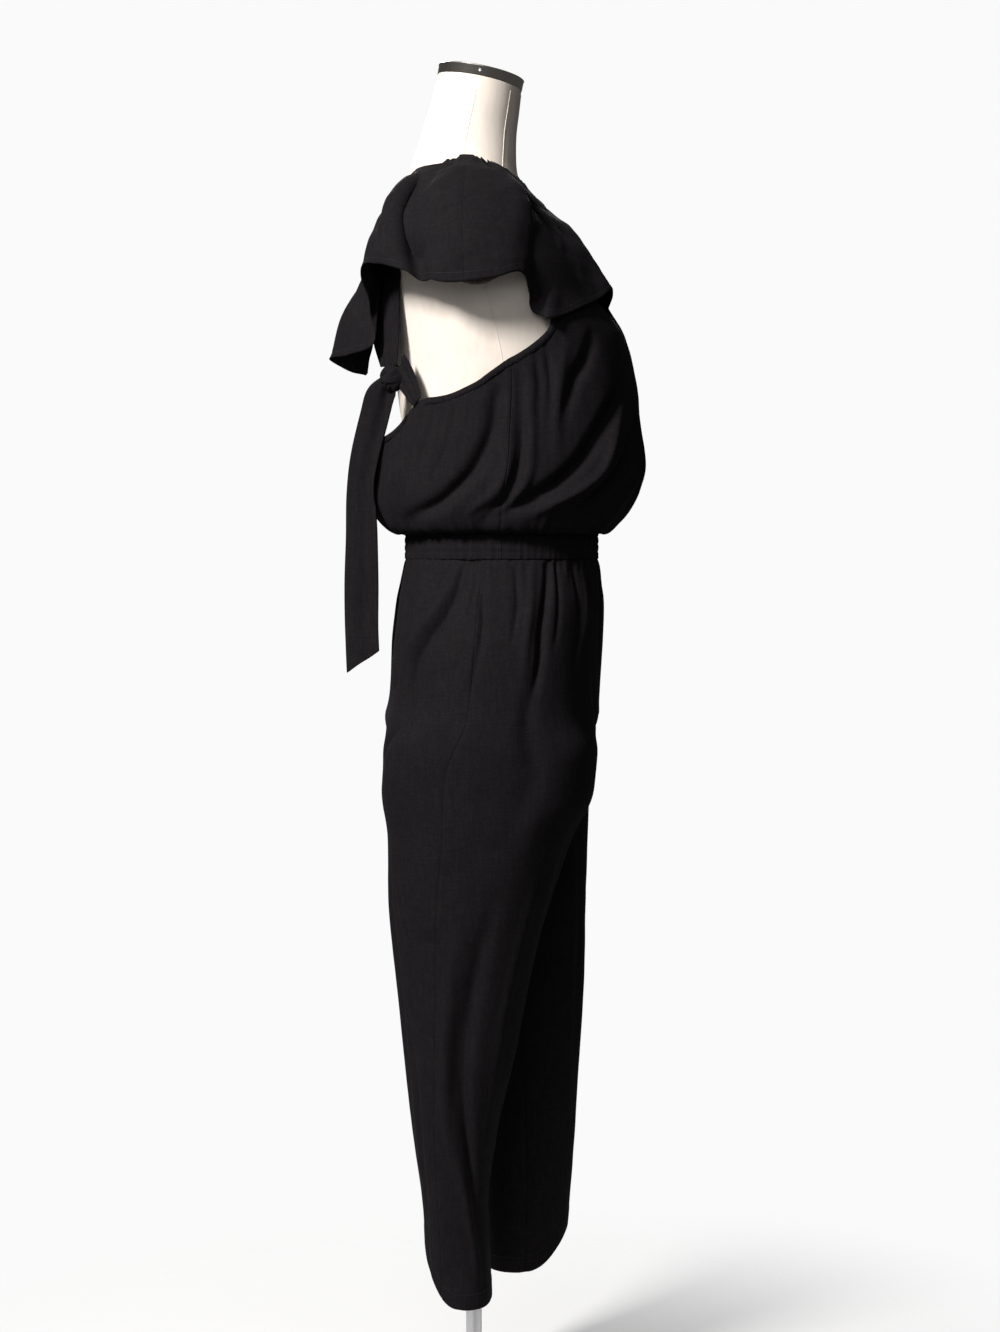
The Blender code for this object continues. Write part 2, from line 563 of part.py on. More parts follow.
def ribbed(name, ribs, form_skin, bodice_skin, columns, rows, width_gap=0.0):
    """A flounce through its ribs, kept outside the strap on the form, and the bodice."""
    over_strap = STRAP_LIFT + CLOTH + LAY_GAP + CLOTH / 2
    last = len(ribs) - 1
    grid = []
    for r in range(rows):
        part = r / (rows - 1)
        line = []
        for c in range(columns):
            place = width_gap + (last - width_gap) * c / (columns - 1) if width_gap >= 0 else (
                (last + width_gap) * c / (columns - 1))
            seam = Vector([along(ribs, place, lambda rib, a=a: rib.seam[a]) for a in range(3)])
            edge = Vector([along(ribs, place, lambda rib, a=a: rib.edge[a]) for a in range(3)])
            swell = along(ribs, place, lambda rib: rib.swell)
            fall = edge - seam
            outward = Vector((seam.x, seam.y * 1.6, 0.0)).normalized() + Vector((0, 0, 0.7))
            bulge = swell * sin(pi * part ** 1.15)
            point = seam + fall * part + outward.normalized() * bulge
            stand_off = FLOUNCE_LIFT * min(1.0, 6 * part)
            point = clear_of((bodice_skin,), point, CLOTH + 2 * LAY_GAP + stand_off)
            line.append(clear_of((form_skin,), point, over_strap + stand_off))
        grid.append(line)
    return grid


def clear_of(skins, point, gap):
    """Move a point out to a distance from each solid, where it is nearer or inside."""
    for _ in range(3):
        for tree in skins:
            place, normal, _face, distance = tree.find_nearest(point)
            inside = (point - place).dot(normal) < 0
            if inside or distance < gap:
                point = place + (normal if inside or distance < 1e-6
                                 else (point - place).normalized()) * gap
    return point


def strip(points, skins, columns, rows, gap=CLOTH / 2 + LAY_GAP):
    """A ribbon through its points: rows run along it, columns across it."""
    last = len(points) - 1
    grid = []
    for r in range(rows):
        place = last * r / (rows - 1)
        middle = Vector([along(points, place, lambda p, a=a: p.middle[a]) for a in range(3)])
        across = Vector([along(points, place, lambda p, a=a: p.across[a]) for a in range(3)]).normalized()
        width = along(points, place, lambda p: p.width)
        grid.append([clear_of(skins, middle + across * width * (c / (columns - 1) - 0.5), gap)
                     for c in range(columns)])
    return grid


def outward_normals(grid, centre):
    """Grid normals, turned to point away from a centre."""
    normals = grid_normals(grid)
    middle_row, middle_col = len(grid) // 2, len(grid[0]) // 2
    if normals[middle_row][middle_col].dot(grid[middle_row][middle_col] - centre) < 0:
        normals = [[-n for n in line] for line in normals]
    return normals


def skin_of(obj):
    bm = bmesh.new()
    bm.from_mesh(obj.data)
    tree = BVHTree.FromBMesh(bm)
    bm.free()
    return tree


def envelope():
    """The bodice's whole surface, filled, up over the shoulders: what the flounce hangs outside."""
    sides, per_row = 72, 4
    bm = bmesh.new()
    loops = [[bm.verts.new(bodice_point(2 * pi * i / sides, row / per_row)) for i in range(sides)]
             for row in range(2 * per_row, per_row * (len(BODICE) - 1) + 1)]
    for low, high in zip(loops, loops[1:]):
        for i in range(sides):
            j = (i + 1) % sides
            bm.faces.new((low[i], low[j], high[j], high[i]))
    bm.faces.new(loops[0])
    bm.faces.new(loops[-1])
    bmesh.ops.recalc_face_normals(bm, faces=bm.faces)
    tree = BVHTree.FromBMesh(bm)
    bm.free()
    return tree


def garment(form):
    back = bodice()
    binding("armhole_binding", (FRONT_TOP, BACK_TOP),
            (66.5, 69, 72, 76, 80, 85, 90, 96, 102, 108, 114, 120, 124, 127.5))
    binding("back_binding", (BACK_TOP, BACK_TOP),
            (138, 140, 143, 151, 162, 174, 188, 202, 216, 230, 243, 256, 269.6))
    waistband()
    trousers()

    chest = Vector((0, 0, 1.30))
    form_skin, back_skin = skin_of(form), skin_of(back)
    grid = strip(STRAP, (form_skin,), 7, 26, STRAP_LIFT + CLOTH / 2)
    wall("shoulder_strap", grid, outward_normals(grid, chest), CLOTH, CREPE)
    bodice_skin = envelope()
    for name, ribs in (("flounce_front", FLOUNCE_FRONT), ("flounce_back", FLOUNCE_BACK)):
        short = -0.012 if name == "flounce_front" else 0.012
        grid = ribbed(name, ribs, form_skin, bodice_skin, 3 * len(ribs), 8, short)
        wall(name, grid, outward_normals(grid, chest), CLOTH, CREPE)

    sides, rings = 16, 9
    loops = []
    for k in range(rings):
        tall = -1 + 2 * (k + 0.5) / rings
        reach = (1 - tall * tall) ** 0.5
        loops.append([KNOT_CENTRE + Vector((KNOT_HALF.x * reach * cos(2 * pi * i / sides),
                                            KNOT_HALF.y * reach * sin(2 * pi * i / sides),
                                            KNOT_HALF.z * tall)) for i in range(sides)])
    stack("tie_knot", loops, CREPE)
    grid = strip(CORNER_TAB, (back_skin,), 4, 7)
    wall("corner_tab", grid, outward_normals(grid, chest), CLOTH, CREPE)
    grid = strip(TIE, (bodice_skin,), 4, 20, 2 * CLOTH + 2 * LAY_GAP)
    for c, point in enumerate(grid[-1]):
        point.z -= TIE_POINT * c / (len(grid[-1]) - 1)
    wall("tie_end", grid, outward_normals(grid, Vector((1, 0, 1))), CLOTH, CREPE)


def main():
    for obj in list(bpy.data.objects):
        bpy.data.objects.remove(obj, do_unlink=True)
    form = torso()
    neck_trim()
    arm_plate("arm_plate_right", -1)
    arm_plate("arm_plate_left", 1)
    stand()
    garment(form)


main()
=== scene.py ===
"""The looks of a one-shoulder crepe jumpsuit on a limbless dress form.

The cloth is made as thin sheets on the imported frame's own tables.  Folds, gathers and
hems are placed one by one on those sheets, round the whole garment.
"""

from collections import namedtuple
from math import cos, degrees, pi, radians, sin

import bpy
import numpy as np
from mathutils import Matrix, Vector
from mathutils.bvhtree import BVHTree


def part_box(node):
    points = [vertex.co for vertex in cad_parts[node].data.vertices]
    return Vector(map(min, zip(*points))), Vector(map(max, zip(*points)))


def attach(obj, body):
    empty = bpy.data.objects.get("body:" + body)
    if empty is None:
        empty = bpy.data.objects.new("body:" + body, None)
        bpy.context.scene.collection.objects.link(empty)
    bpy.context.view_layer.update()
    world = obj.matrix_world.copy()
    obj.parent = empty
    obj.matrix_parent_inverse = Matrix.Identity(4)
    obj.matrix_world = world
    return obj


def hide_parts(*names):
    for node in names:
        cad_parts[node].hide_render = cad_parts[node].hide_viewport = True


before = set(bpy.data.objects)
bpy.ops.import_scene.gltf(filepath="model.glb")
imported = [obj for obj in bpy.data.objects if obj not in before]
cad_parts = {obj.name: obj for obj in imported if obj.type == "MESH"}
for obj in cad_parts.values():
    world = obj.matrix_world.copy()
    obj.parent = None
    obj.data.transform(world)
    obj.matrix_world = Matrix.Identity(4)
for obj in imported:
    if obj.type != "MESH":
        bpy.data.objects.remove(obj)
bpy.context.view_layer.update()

MM = 0.001
CLOTH = 1.2 * MM            # drawn thickness of the crepe
SEAM_GAP = 0.002 * MM
LAY_GAP = 0.4 * MM
BAND_LOW, BAND_HIGH = 1.0220, 1.0560
CROTCH_Z, CROTCH_BLEND = 0.745, 0.098
HEM_Z = 0.150
SIDE_SEAM = 200
BINDING = 7.0 * MM
STRAP_WIDTH, STRAP_LIFT = 46 * MM, 1.0 * MM
FLOUNCE_LIFT = 3.0 * MM
TIE_WIDTH, TIE_POINT = 44 * MM, 0.026
ARM_PLANE = 0.163
PLATE_HALF_DEPTH, PLATE_HALF_HEIGHT, PLATE_THICK = 0.043, 0.046, 0.006
PLATE_Y, PLATE_Z = -0.004, 1.374
NECK_TILT = radians(11.0)
NECK_TOP_Z, NECK_TOP_Y, NECK_RADIUS = 1.580, -0.0075, 0.0500
RING_HEIGHT, RING_WALL = 0.0120, 0.0016

# ---- tables, as the solids have them ----------------------------------------
Section = namedtuple("Section", "z front back half_width squareness")
TORSO = (
    Section(0.846, -0.126, 0.085, 0.163, 2.2),
    Section(0.885, -0.132, 0.087, 0.166, 2.2),
    Section(0.930, -0.134, 0.084, 0.160, 2.2),
    Section(0.990, -0.137, 0.074, 0.140, 2.2),
    Section(1.045, -0.135, 0.067, 0.121, 2.2),
    Section(1.110, -0.141, 0.074, 0.127, 2.2),
    Section(1.180, -0.153, 0.084, 0.137, 2.2),
    Section(1.235, -0.162, 0.091, 0.145, 2.1),
    Section(1.280, -0.150, 0.096, 0.152, 2.2),
    Section(1.330, -0.128, 0.100, 0.163, 2.4),
    Section(1.370, -0.106, 0.100, 0.172, 2.6),
    Section(1.400, -0.087, 0.098, 0.168, 2.3),
    Section(1.425, -0.073, 0.094, 0.147, 1.9),
    Section(1.445, -0.062, 0.087, 0.118, 1.7),
    Section(1.462, -0.055, 0.081, 0.092, 1.75),
    Section(1.478, -0.0510, 0.0745, 0.071, 1.9),
    Section(1.495, -0.0500, 0.0690, 0.059, 2.0),
    Section(1.520, -0.0505, 0.0610, 0.0525, 2.0),
    Section(1.545, -0.0535, 0.0530, 0.0505, 2.0),
    Section(1.580, -0.0575, 0.0425, 0.0500, 2.0),
)

BODICE = (
    Section(1.0590, -0.1460, 0.0790, 0.1310, 2.2),
    Section(1.0530, -0.1560, 0.0900, 0.1400, 2.2),
    Section(1.0600, -0.1670, 0.1030, 0.1500, 2.2),
    Section(1.0800, -0.1840, 0.1180, 0.1590, 2.2),
    Section(1.1060, -0.1970, 0.1240, 0.1630, 2.2),
    Section(1.1350, -0.2030, 0.1210, 0.1630, 2.2),
    Section(1.1860, -0.1970, 0.1100, 0.1600, 2.2),
    Section(1.2270, -0.1935, 0.1040, 0.1570, 2.2),
    Section(1.2800, -0.1790, 0.1020, 0.1580, 2.2),
    Section(1.3200, -0.1485, 0.1040, 0.1660, 2.3),
    Section(1.3600, -0.1170, 0.1050, 0.1780, 2.7),
    Section(1.4000, -0.0920, 0.1040, 0.1760, 2.5),
    Section(1.4400, -0.0690, 0.0970, 0.1340, 1.8),
    Section(1.4700, -0.0570, 0.0860, 0.0900, 1.8),
)

HIPS = (
    Section(0.7450, -0.1430, 0.1040, 0.1770, 3.0),
    Section(0.8000, -0.1450, 0.1030, 0.1790, 2.7),
    Section(0.8540, -0.1480, 0.0980, 0.1760, 2.4),
    Section(0.9250, -0.1520, 0.0960, 0.1690, 2.2),
    Section(0.9730, -0.1530, 0.0900, 0.1540, 2.2),
    Section(1.0000, -0.1500, 0.0840, 0.1410, 2.2),
    Section(1.0216, -0.1460, 0.0790, 0.1310, 2.2),
)

LegSection = namedtuple("LegSection", "z inner outer front back squareness")

RIGHT_LEG = (
    LegSection(0.150, 0.0300, -0.1080, -0.0210, 0.0560, 2.9),
    LegSection(0.215, 0.0290, -0.1130, -0.0190, 0.0570, 2.8),
    LegSection(0.272, 0.0280, -0.1190, -0.0180, 0.0610, 2.6),
    LegSection(0.355, 0.0270, -0.1290, -0.0290, 0.0720, 2.5),
    LegSection(0.438, 0.0260, -0.1390, -0.0490, 0.0810, 2.4),
    LegSection(0.532, 0.0250, -0.1500, -0.0680, 0.0890, 2.3),
    LegSection(0.614, 0.0240, -0.1600, -0.0880, 0.0970, 2.3),
    LegSection(0.700, 0.0225, -0.1700, -0.1150, 0.0990, 2.3),
    LegSection(0.745, 0.0206, -0.1740, -0.1370, 0.1040, 2.4),
    LegSection(0.800, 0.0206, -0.1770, -0.1440, 0.1030, 2.5),
    LegSection(0.850, 0.0206, -0.1770, -0.1470, 0.0980, 2.5),
)

LEFT_LEG = (
    LegSection(0.150, 0.0390, 0.1600, -0.1110, -0.0140, 2.9),
    LegSection(0.216, 0.0380, 0.1600, -0.1160, -0.0100, 2.8),
    LegSection(0.272, 0.0370, 0.1600, -0.1210, -0.0060, 2.6),
    LegSection(0.354, 0.0350, 0.1610, -0.1270, 0.0040, 2.5),
    LegSection(0.478, 0.0310, 0.1660, -0.1340, 0.0280, 2.4),
    LegSection(0.602, 0.0270, 0.1720, -0.1370, 0.0550, 2.3),
    LegSection(0.700, 0.0250, 0.1760, -0.1400, 0.0800, 2.3),
    LegSection(0.745, 0.0232, 0.1780, -0.1420, 0.0920, 2.4),
    LegSection(0.800, 0.0232, 0.1790, -0.1450, 0.1000, 2.5),
    LegSection(0.850, 0.0232, 0.1770, -0.1470, 0.0980, 2.5),
)

EdgePoint = namedtuple("EdgePoint", "turn z")   # turn in degrees: 0 front, 90 wearer's right

FRONT_TOP = (
    EdgePoint(-90, 1.246), EdgePoint(-70, 1.264), EdgePoint(-50, 1.292), EdgePoint(-30, 1.330),
    EdgePoint(-10, 1.375), EdgePoint(5, 1.408), EdgePoint(12, 1.430), EdgePoint(20, 1.449),
    EdgePoint(24, 1.4560), EdgePoint(32, 1.4475), EdgePoint(42, 1.433), EdgePoint(48, 1.400),
    EdgePoint(54, 1.360), EdgePoint(60, 1.328),
    EdgePoint(66, 1.302), EdgePoint(70, 1.286), EdgePoint(75, 1.273), EdgePoint(82, 1.260),
    EdgePoint(90, 1.247),
)
BACK_TOP = (
    EdgePoint(90, 1.247), EdgePoint(96, 1.235), EdgePoint(102, 1.223), EdgePoint(108, 1.2148),
    EdgePoint(115, 1.2070), EdgePoint(121, 1.2042), EdgePoint(126, 1.2034), EdgePoint(130, 1.2020),
    EdgePoint(134, 1.197), EdgePoint(138, 1.186), EdgePoint(142, 1.175), EdgePoint(149, 1.166),
    EdgePoint(160, 1.161), EdgePoint(180, 1.161), EdgePoint(205, 1.170), EdgePoint(230, 1.190),
    EdgePoint(250, 1.214), EdgePoint(270, 1.246),
)

# The flounce, one row for each ridge or valley: its place on the seam, its place on
# the free edge, and how far the cloth between them swells outward.
Rib = namedtuple("Rib", "seam edge swell")

FLOUNCE_FRONT = (
    Rib((0.146, -0.060, 1.248), (0.163, -0.074, 1.206), 0.004),
    Rib((0.131, -0.098, 1.264), (0.150, -0.120, 1.204), 0.006),
    Rib((0.112, -0.124, 1.283), (0.120, -0.156, 1.218), 0.003),
    Rib((0.086, -0.138, 1.306), (0.098, -0.188, 1.226), 0.004),
    Rib((0.062, -0.138, 1.330), (0.064, -0.180, 1.250), 0.002),
    Rib((0.036, -0.127, 1.356), (0.042, -0.184, 1.272), 0.002),
    Rib((0.012, -0.111, 1.384), (0.006, -0.158, 1.304), 0.002),
    Rib((-0.012, -0.094, 1.408), (-0.050, -0.158, 1.330), 0.004),
    Rib((-0.030, -0.077, 1.431), (-0.102, -0.137, 1.314), 0.014),
    Rib((-0.042, -0.064, 1.449), (-0.154, -0.092, 1.291), 0.026),
    Rib((-0.050, -0.053, 1.461), (-0.163, -0.078, 1.294), 0.026),
    Rib((-0.054, -0.046, 1.466), (-0.170, -0.063, 1.314), 0.024),
    Rib((-0.058, -0.036, 1.473), (-0.188, -0.052, 1.338), 0.028),
    Rib((-0.063, -0.018, 1.481), (-0.203, -0.026, 1.331), 0.034),
    Rib((-0.067, 0.004, 1.486), (-0.207, 0.008, 1.326), 0.036),
)
FLOUNCE_BACK = (
    Rib((-0.067, 0.004, 1.486), (-0.207, 0.008, 1.326), 0.036),
    Rib((-0.067, 0.022, 1.484), (-0.203, 0.030, 1.326), 0.033),
    Rib((-0.066, 0.038, 1.480), (-0.190, 0.052, 1.332), 0.016),
    Rib((-0.064, 0.053, 1.474), (-0.182, 0.078, 1.342), 0.022),
    Rib((-0.061, 0.067, 1.464), (-0.158, 0.104, 1.350), 0.012),
    Rib((-0.058, 0.078, 1.452), (-0.128, 0.122, 1.348), 0.006),
    Rib((-0.056, 0.087, 1.438), (-0.098, 0.112, 1.306), 0.002),
    Rib((-0.056, 0.094, 1.419), (-0.090, 0.112, 1.268), 0.004),
    Rib((-0.056, 0.101, 1.395), (-0.072, 0.142, 1.256), 0.008),
    Rib((-0.056, 0.105, 1.366), (-0.046, 0.164, 1.254), 0.010),
    Rib((-0.056, 0.108, 1.340), (-0.016, 0.150, 1.244), 0.006),
    Rib((-0.058, 0.110, 1.312), (0.004, 0.132, 1.238), 0.003),
    Rib((-0.062, 0.112, 1.288), (-0.012, 0.124, 1.240), 0.001),
)

StripPoint = namedtuple("StripPoint", "middle across width")

STRAP = (
    StripPoint((-0.0715, -0.0500, 1.4525), (-1.0, -0.20, -0.45), 44 * MM),
    StripPoint((-0.080, -0.030, 1.4620), (-1.0, -0.20, -0.45), STRAP_WIDTH),
    StripPoint((-0.087, 0.006, 1.4680), (-1.0, 0.00, -0.45), STRAP_WIDTH),
    StripPoint((-0.085, 0.046, 1.4580), (-1.0, 0.20, -0.35), STRAP_WIDTH),
    StripPoint((-0.085, 0.080, 1.4200), (-1.0, -0.20, -0.25), 50 * MM),
    StripPoint((-0.087, 0.094, 1.3700), (-1.0, -0.45, -0.10), 68 * MM),
    StripPoint((-0.080, 0.0985, 1.3200), (-1.0, -0.50, 0.00), 70 * MM),
    StripPoint((-0.080, 0.1000, 1.2800), (-1.0, -0.60, 0.00), 62 * MM),
    StripPoint((-0.088, 0.0960, 1.2428), (-1.0, -0.70, 0.00), 34 * MM),
)
TIE = (
    StripPoint((-0.096, 0.0950, 1.2310), (0.30, 1.0, 0.10), 13 * MM),
    StripPoint((-0.088, 0.1040, 1.2165), (0.40, 1.0, 0.00), 38 * MM),
    StripPoint((-0.079, 0.1110, 1.1900), (0.45, 1.0, 0.05), 44 * MM),
    StripPoint((-0.069, 0.1230, 1.1450), (0.50, 0.9, 0.02), 44 * MM),
    StripPoint((-0.062, 0.1290, 1.1000), (0.55, 0.8, 0.02), TIE_WIDTH),
    StripPoint((-0.058, 0.1290, 1.0500), (0.45, 0.9, 0.00), TIE_WIDTH),
    StripPoint((-0.056, 0.1300, 0.9950), (0.35, 1.0, 0.00), TIE_WIDTH),
    StripPoint((-0.056, 0.1300, 0.9450), (0.35, 1.0, 0.00), 42 * MM),
    StripPoint((-0.058, 0.1280, 0.9150), (0.30, 1.0, 0.00), 40 * MM),
)
CORNER_TAB = (
    StripPoint((-0.1230, 0.0620, 1.2000), (0.45, 0.50, -0.77), 15 * MM),
    StripPoint((-0.1120, 0.0710, 1.2195), (0.42, 0.44, -0.77), 27 * MM),
    StripPoint((-0.1030, 0.0820, 1.2385), (0.36, 0.20, -0.90), 38 * MM),
)
KNOT_CENTRE, KNOT_HALF = Vector((-0.0960, 0.0915, 1.2290)), Vector((0.0115, 0.0145, 0.0160))


# ---- folds ------------------------------------------------------------------
# Each fold runs through (turn in degrees, height in metres, strength) points.  Its depth
# is in millimetres, below zero for a trough, and its width is the trough's half-width.
Fold = namedtuple("Fold", "depth width path")

BODICE_FOLDS = (
    # wearer's right side, under the armhole
    Fold(-7.5, 8.0, ((94, 1.222, 0.2), (95, 1.200, 0.6), (96, 1.167, 0.9), (100, 1.134, 1.0),
                     (105, 1.110, 1.0), (116, 1.084, 0.9), (136, 1.066, 0.3))),
    Fold(3.2, 5.0, ((92, 1.215, 0.3), (90, 1.134, 1.0), (92, 1.100, 0.9), (101, 1.076, 0.3))),
    Fold(-4.5, 4.5, ((88, 1.236, 0.4), (86, 1.167, 0.8), (87, 1.124, 1.0), (89, 1.089, 0.9),
                     (95, 1.070, 0.3))),
    Fold(3.2, 5.0, ((84, 1.240, 0.3), (83, 1.156, 1.0), (83, 1.111, 1.0), (88, 1.083, 0.8),
                    (99, 1.067, 0.2))),
    Fold(-2.2, 3.2, ((76, 1.264, 0.7), (75, 1.220, 1.0), (75, 1.157, 0.2))),
    Fold(-2.0, 3.0, ((81, 1.256, 0.8), (80, 1.225, 1.0), (80, 1.180, 0.2))),
    Fold(-5.5, 8.0, ((50, 1.270, 0.5), (57, 1.245, 1.0), (64, 1.222, 0.9), (69, 1.178, 0.1))),
    Fold(2.6, 7.0, ((66, 1.262, 0.3), (71, 1.225, 1.0), (73, 1.170, 0.8), (72, 1.130, 0.2))),
    Fold(-8.0, 10.0, ((34, 1.235, 0.2), (38, 1.210, 0.8), (51, 1.168, 1.0), (64, 1.124, 1.0),
                      (76, 1.095, 0.9), (97, 1.068, 0.2))),
    Fold(5.0, 6.0, ((36, 1.192, 0.3), (45, 1.153, 1.0), (52, 1.119, 1.0), (62, 1.097, 1.0),
                    (77, 1.075, 0.3))),
    Fold(-5.5, 7.0, ((27, 1.175, 0.3), (39, 1.125, 1.0), (52, 1.090, 0.8), (63, 1.070, 0.2))),
    Fold(-1.5, 4.0, ((112, 1.192, 0.4), (114, 1.150, 1.0), (119, 1.110, 0.3))),
    Fold(-1.8, 4.0, ((122, 1.188, 0.5), (125, 1.140, 1.0), (131, 1.100, 0.2))),
    Fold(-1.4, 2.6, ((105, 1.206, 0.9), (106, 1.180, 0.6), (107, 1.150, 0.1))),
    Fold(2.0, 9.0, ((133, 1.180, 0.3), (136, 1.130, 1.0), (142, 1.090, 0.3))),
    # front
    Fold(-5.0, 9.0, ((14, 1.330, 0.2), (6, 1.240, 1.0), (9, 1.150, 1.0), (16, 1.085, 0.3))),
    Fold(-4.0, 8.0, ((-10, 1.320, 0.2), (-14, 1.220, 1.0), (-8, 1.120, 0.9), (1, 1.070, 0.2))),
    Fold(-6.0, 10.0, ((-28, 1.290, 0.2), (-34, 1.200, 1.0), (-30, 1.110, 1.0), (-21, 1.070, 0.3))),
    Fold(-4.5, 7.0, ((-48, 1.255, 0.3), (-54, 1.180, 1.0), (-61, 1.100, 0.7), (-70, 1.072, 0.2))),
    Fold(-6.0, 9.0, ((-70, 1.235, 0.4), (-74, 1.160, 1.0), (-84, 1.090, 0.9), (-97, 1.068, 0.2))),
    Fold(3.2, 7.0, ((-19, 1.260, 0.2), (-22, 1.160, 1.0), (-15, 1.080, 0.3))),
    Fold(3.2, 7.0, ((18, 1.220, 0.2), (23, 1.130, 1.0), (31, 1.080, 0.4))),
    Fold(3.2, 6.0, ((-44, 1.220, 0.2), (-46, 1.120, 1.0), (-39, 1.072, 0.2))),
    # back and the wearer's left side
    Fold(-4.0, 7.0, ((150, 1.158, 0.5), (154, 1.110, 1.0), (150, 1.080, 0.3))),
    Fold(-5.0, 8.0, ((168, 1.158, 0.6), (172, 1.115, 1.0), (167, 1.074, 0.3))),
    Fold(-3.5, 6.0, ((188, 1.160, 0.5), (184, 1.110, 1.0), (191, 1.074, 0.3))),
    Fold(-5.5, 9.0, ((206, 1.168, 0.4), (208, 1.120, 1.0), (203, 1.078, 0.4))),
    Fold(-4.0, 7.0, ((226, 1.186, 0.4), (222, 1.130, 1.0), (231, 1.078, 0.3))),
    Fold(-5.5, 8.0, ((244, 1.205, 0.4), (246, 1.140, 1.0), (239, 1.083, 0.3))),
    Fold(-5.0, 9.0, ((259, 1.232, 0.3), (264, 1.160, 1.0), (276, 1.088, 0.7), (284, 1.070, 0.2))),
    Fold(2.8, 7.0, ((196, 1.160, 0.3), (197, 1.110, 1.0), (192, 1.075, 0.2))),
    Fold(2.8, 7.0, ((235, 1.190, 0.3), (234, 1.130, 1.0), (238, 1.078, 0.2))),
)

RIGHT_LEG_FOLDS = (
    # from the waist over the hip, seen from the side
    Fold(-7.0, 9.0, ((212, 1.018, 0.6), (221, 0.987, 0.9), (235, 0.953, 1.0), (256, 0.925, 1.0),
                     (276, 0.895, 0.9), (282, 0.860, 0.7), (276, 0.815, 0.4), (266, 0.770, 0.1))),
    Fold(3.0, 8.0, ((230, 1.005, 0.3), (243, 0.970, 1.0), (262, 0.945, 1.0), (284, 0.920, 0.4))),
    Fold(-2.2, 4.5, ((203, 1.020, 0.9), (205, 0.990, 0.5), (207, 0.965, 0.1))),
    Fold(-2.8, 5.0, ((197, 0.995, 0.3), (194, 0.943, 1.0), (199, 0.876, 0.2))),
    Fold(-2.2, 4.5, ((167, 1.010, 0.5), (164, 0.971, 1.0), (167, 0.930, 0.2))),
    Fold(-5.5, 6.5, ((130, 1.015, 0.7), (136, 0.954, 1.0), (138, 0.909, 0.8), (145, 0.870, 0.2))),
    Fold(-2.6, 4.5, ((118, 1.015, 0.8), (118, 0.953, 0.8), (121, 0.920, 0.1))),
    Fold(-3.0, 5.0, ((92, 1.015, 0.7), (86, 0.953, 1.0), (92, 0.905, 0.2))),
    Fold(2.6, 6.0, ((76, 1.015, 0.4), (74, 0.965, 1.0), (78, 0.920, 0.2))),
    Fold(2.4, 7.0, ((150, 1.005, 0.4), (152, 0.950, 1.0), (156, 0.890, 0.3))),
    Fold(-3.0, 12.0, ((146, 0.890, 0.2), (154, 0.830, 1.0), (162, 0.764, 0.8), (166, 0.700, 0.2))),
    # the long folds down the leg
    Fold(-4.5, 9.0, ((167, 0.640, 0.1), (171, 0.568, 0.7), (177, 0.474, 1.0), (175, 0.404, 1.0),
                     (163, 0.343, 1.0), (148, 0.280, 0.9), (136, 0.218, 0.6), (130, 0.165, 0.3))),
    Fold(3.6, 9.0, ((182, 0.620, 0.1), (190, 0.500, 1.0), (189, 0.400, 1.0), (178, 0.330, 1.0),
                    (161, 0.260, 0.8), (150, 0.190, 0.4))),
    Fold(-5.0, 12.0, ((108, 0.720, 0.2), (100, 0.600, 1.0), (99, 0.500, 1.0), (105, 0.400, 0.8),
                      (110, 0.290, 0.3))),
    Fold(3.0, 10.0, ((132, 0.700, 0.2), (138, 0.580, 1.0), (142, 0.450, 0.8), (136, 0.340, 0.3))),
    Fold(2.6, 5.0, ((246, 0.700, 0.2), (242, 0.675, 1.0), (230, 0.611, 0.8), (224, 0.570, 0.1))),
    Fold(-3.6, 10.0, ((262, 0.720, 0.2), (256, 0.600, 1.0), (250, 0.480, 0.8), (248, 0.340, 0.3))),
    Fold(-4.0, 11.0, ((300, 0.700, 0.3), (306, 0.550, 1.0), (300, 0.390, 0.4))),
    Fold(-2.6, 8.0, ((232, 0.500, 0.2), (226, 0.380, 1.0), (230, 0.250, 0.4))),
    Fold(-0.8, 7.0, ((192, 0.600, 0.1), (210, 0.585, 1.0), (236, 0.602, 0.1))),
    Fold(-2.2, 6.0, ((252, 0.300, 0.1), (240, 0.245, 1.0), (224, 0.195, 0.2))),
    Fold(-4.0, 10.0, ((20, 0.660, 0.2), (24, 0.500, 1.0), (18, 0.340, 0.3))),
    Fold(3.0, 9.0, ((330, 0.640, 0.2), (334, 0.480, 1.0), (328, 0.320, 0.3))),
    Fold(-4.0, 8.0, ((310, 1.010, 0.6), (306, 0.950, 1.0), (312, 0.880, 0.3))),
    Fold(-3.0, 6.0, ((340, 1.012, 0.7), (336, 0.960, 1.0), (338, 0.910, 0.2))),
    Fold(-3.4, 7.0, ((30, 1.010, 0.6), (34, 0.950, 1.0), (28, 0.880, 0.3))),
    Fold(-3.0, 8.0, ((60, 0.900, 0.2), (40, 0.850, 1.0), (16, 0.800, 0.3))),
)

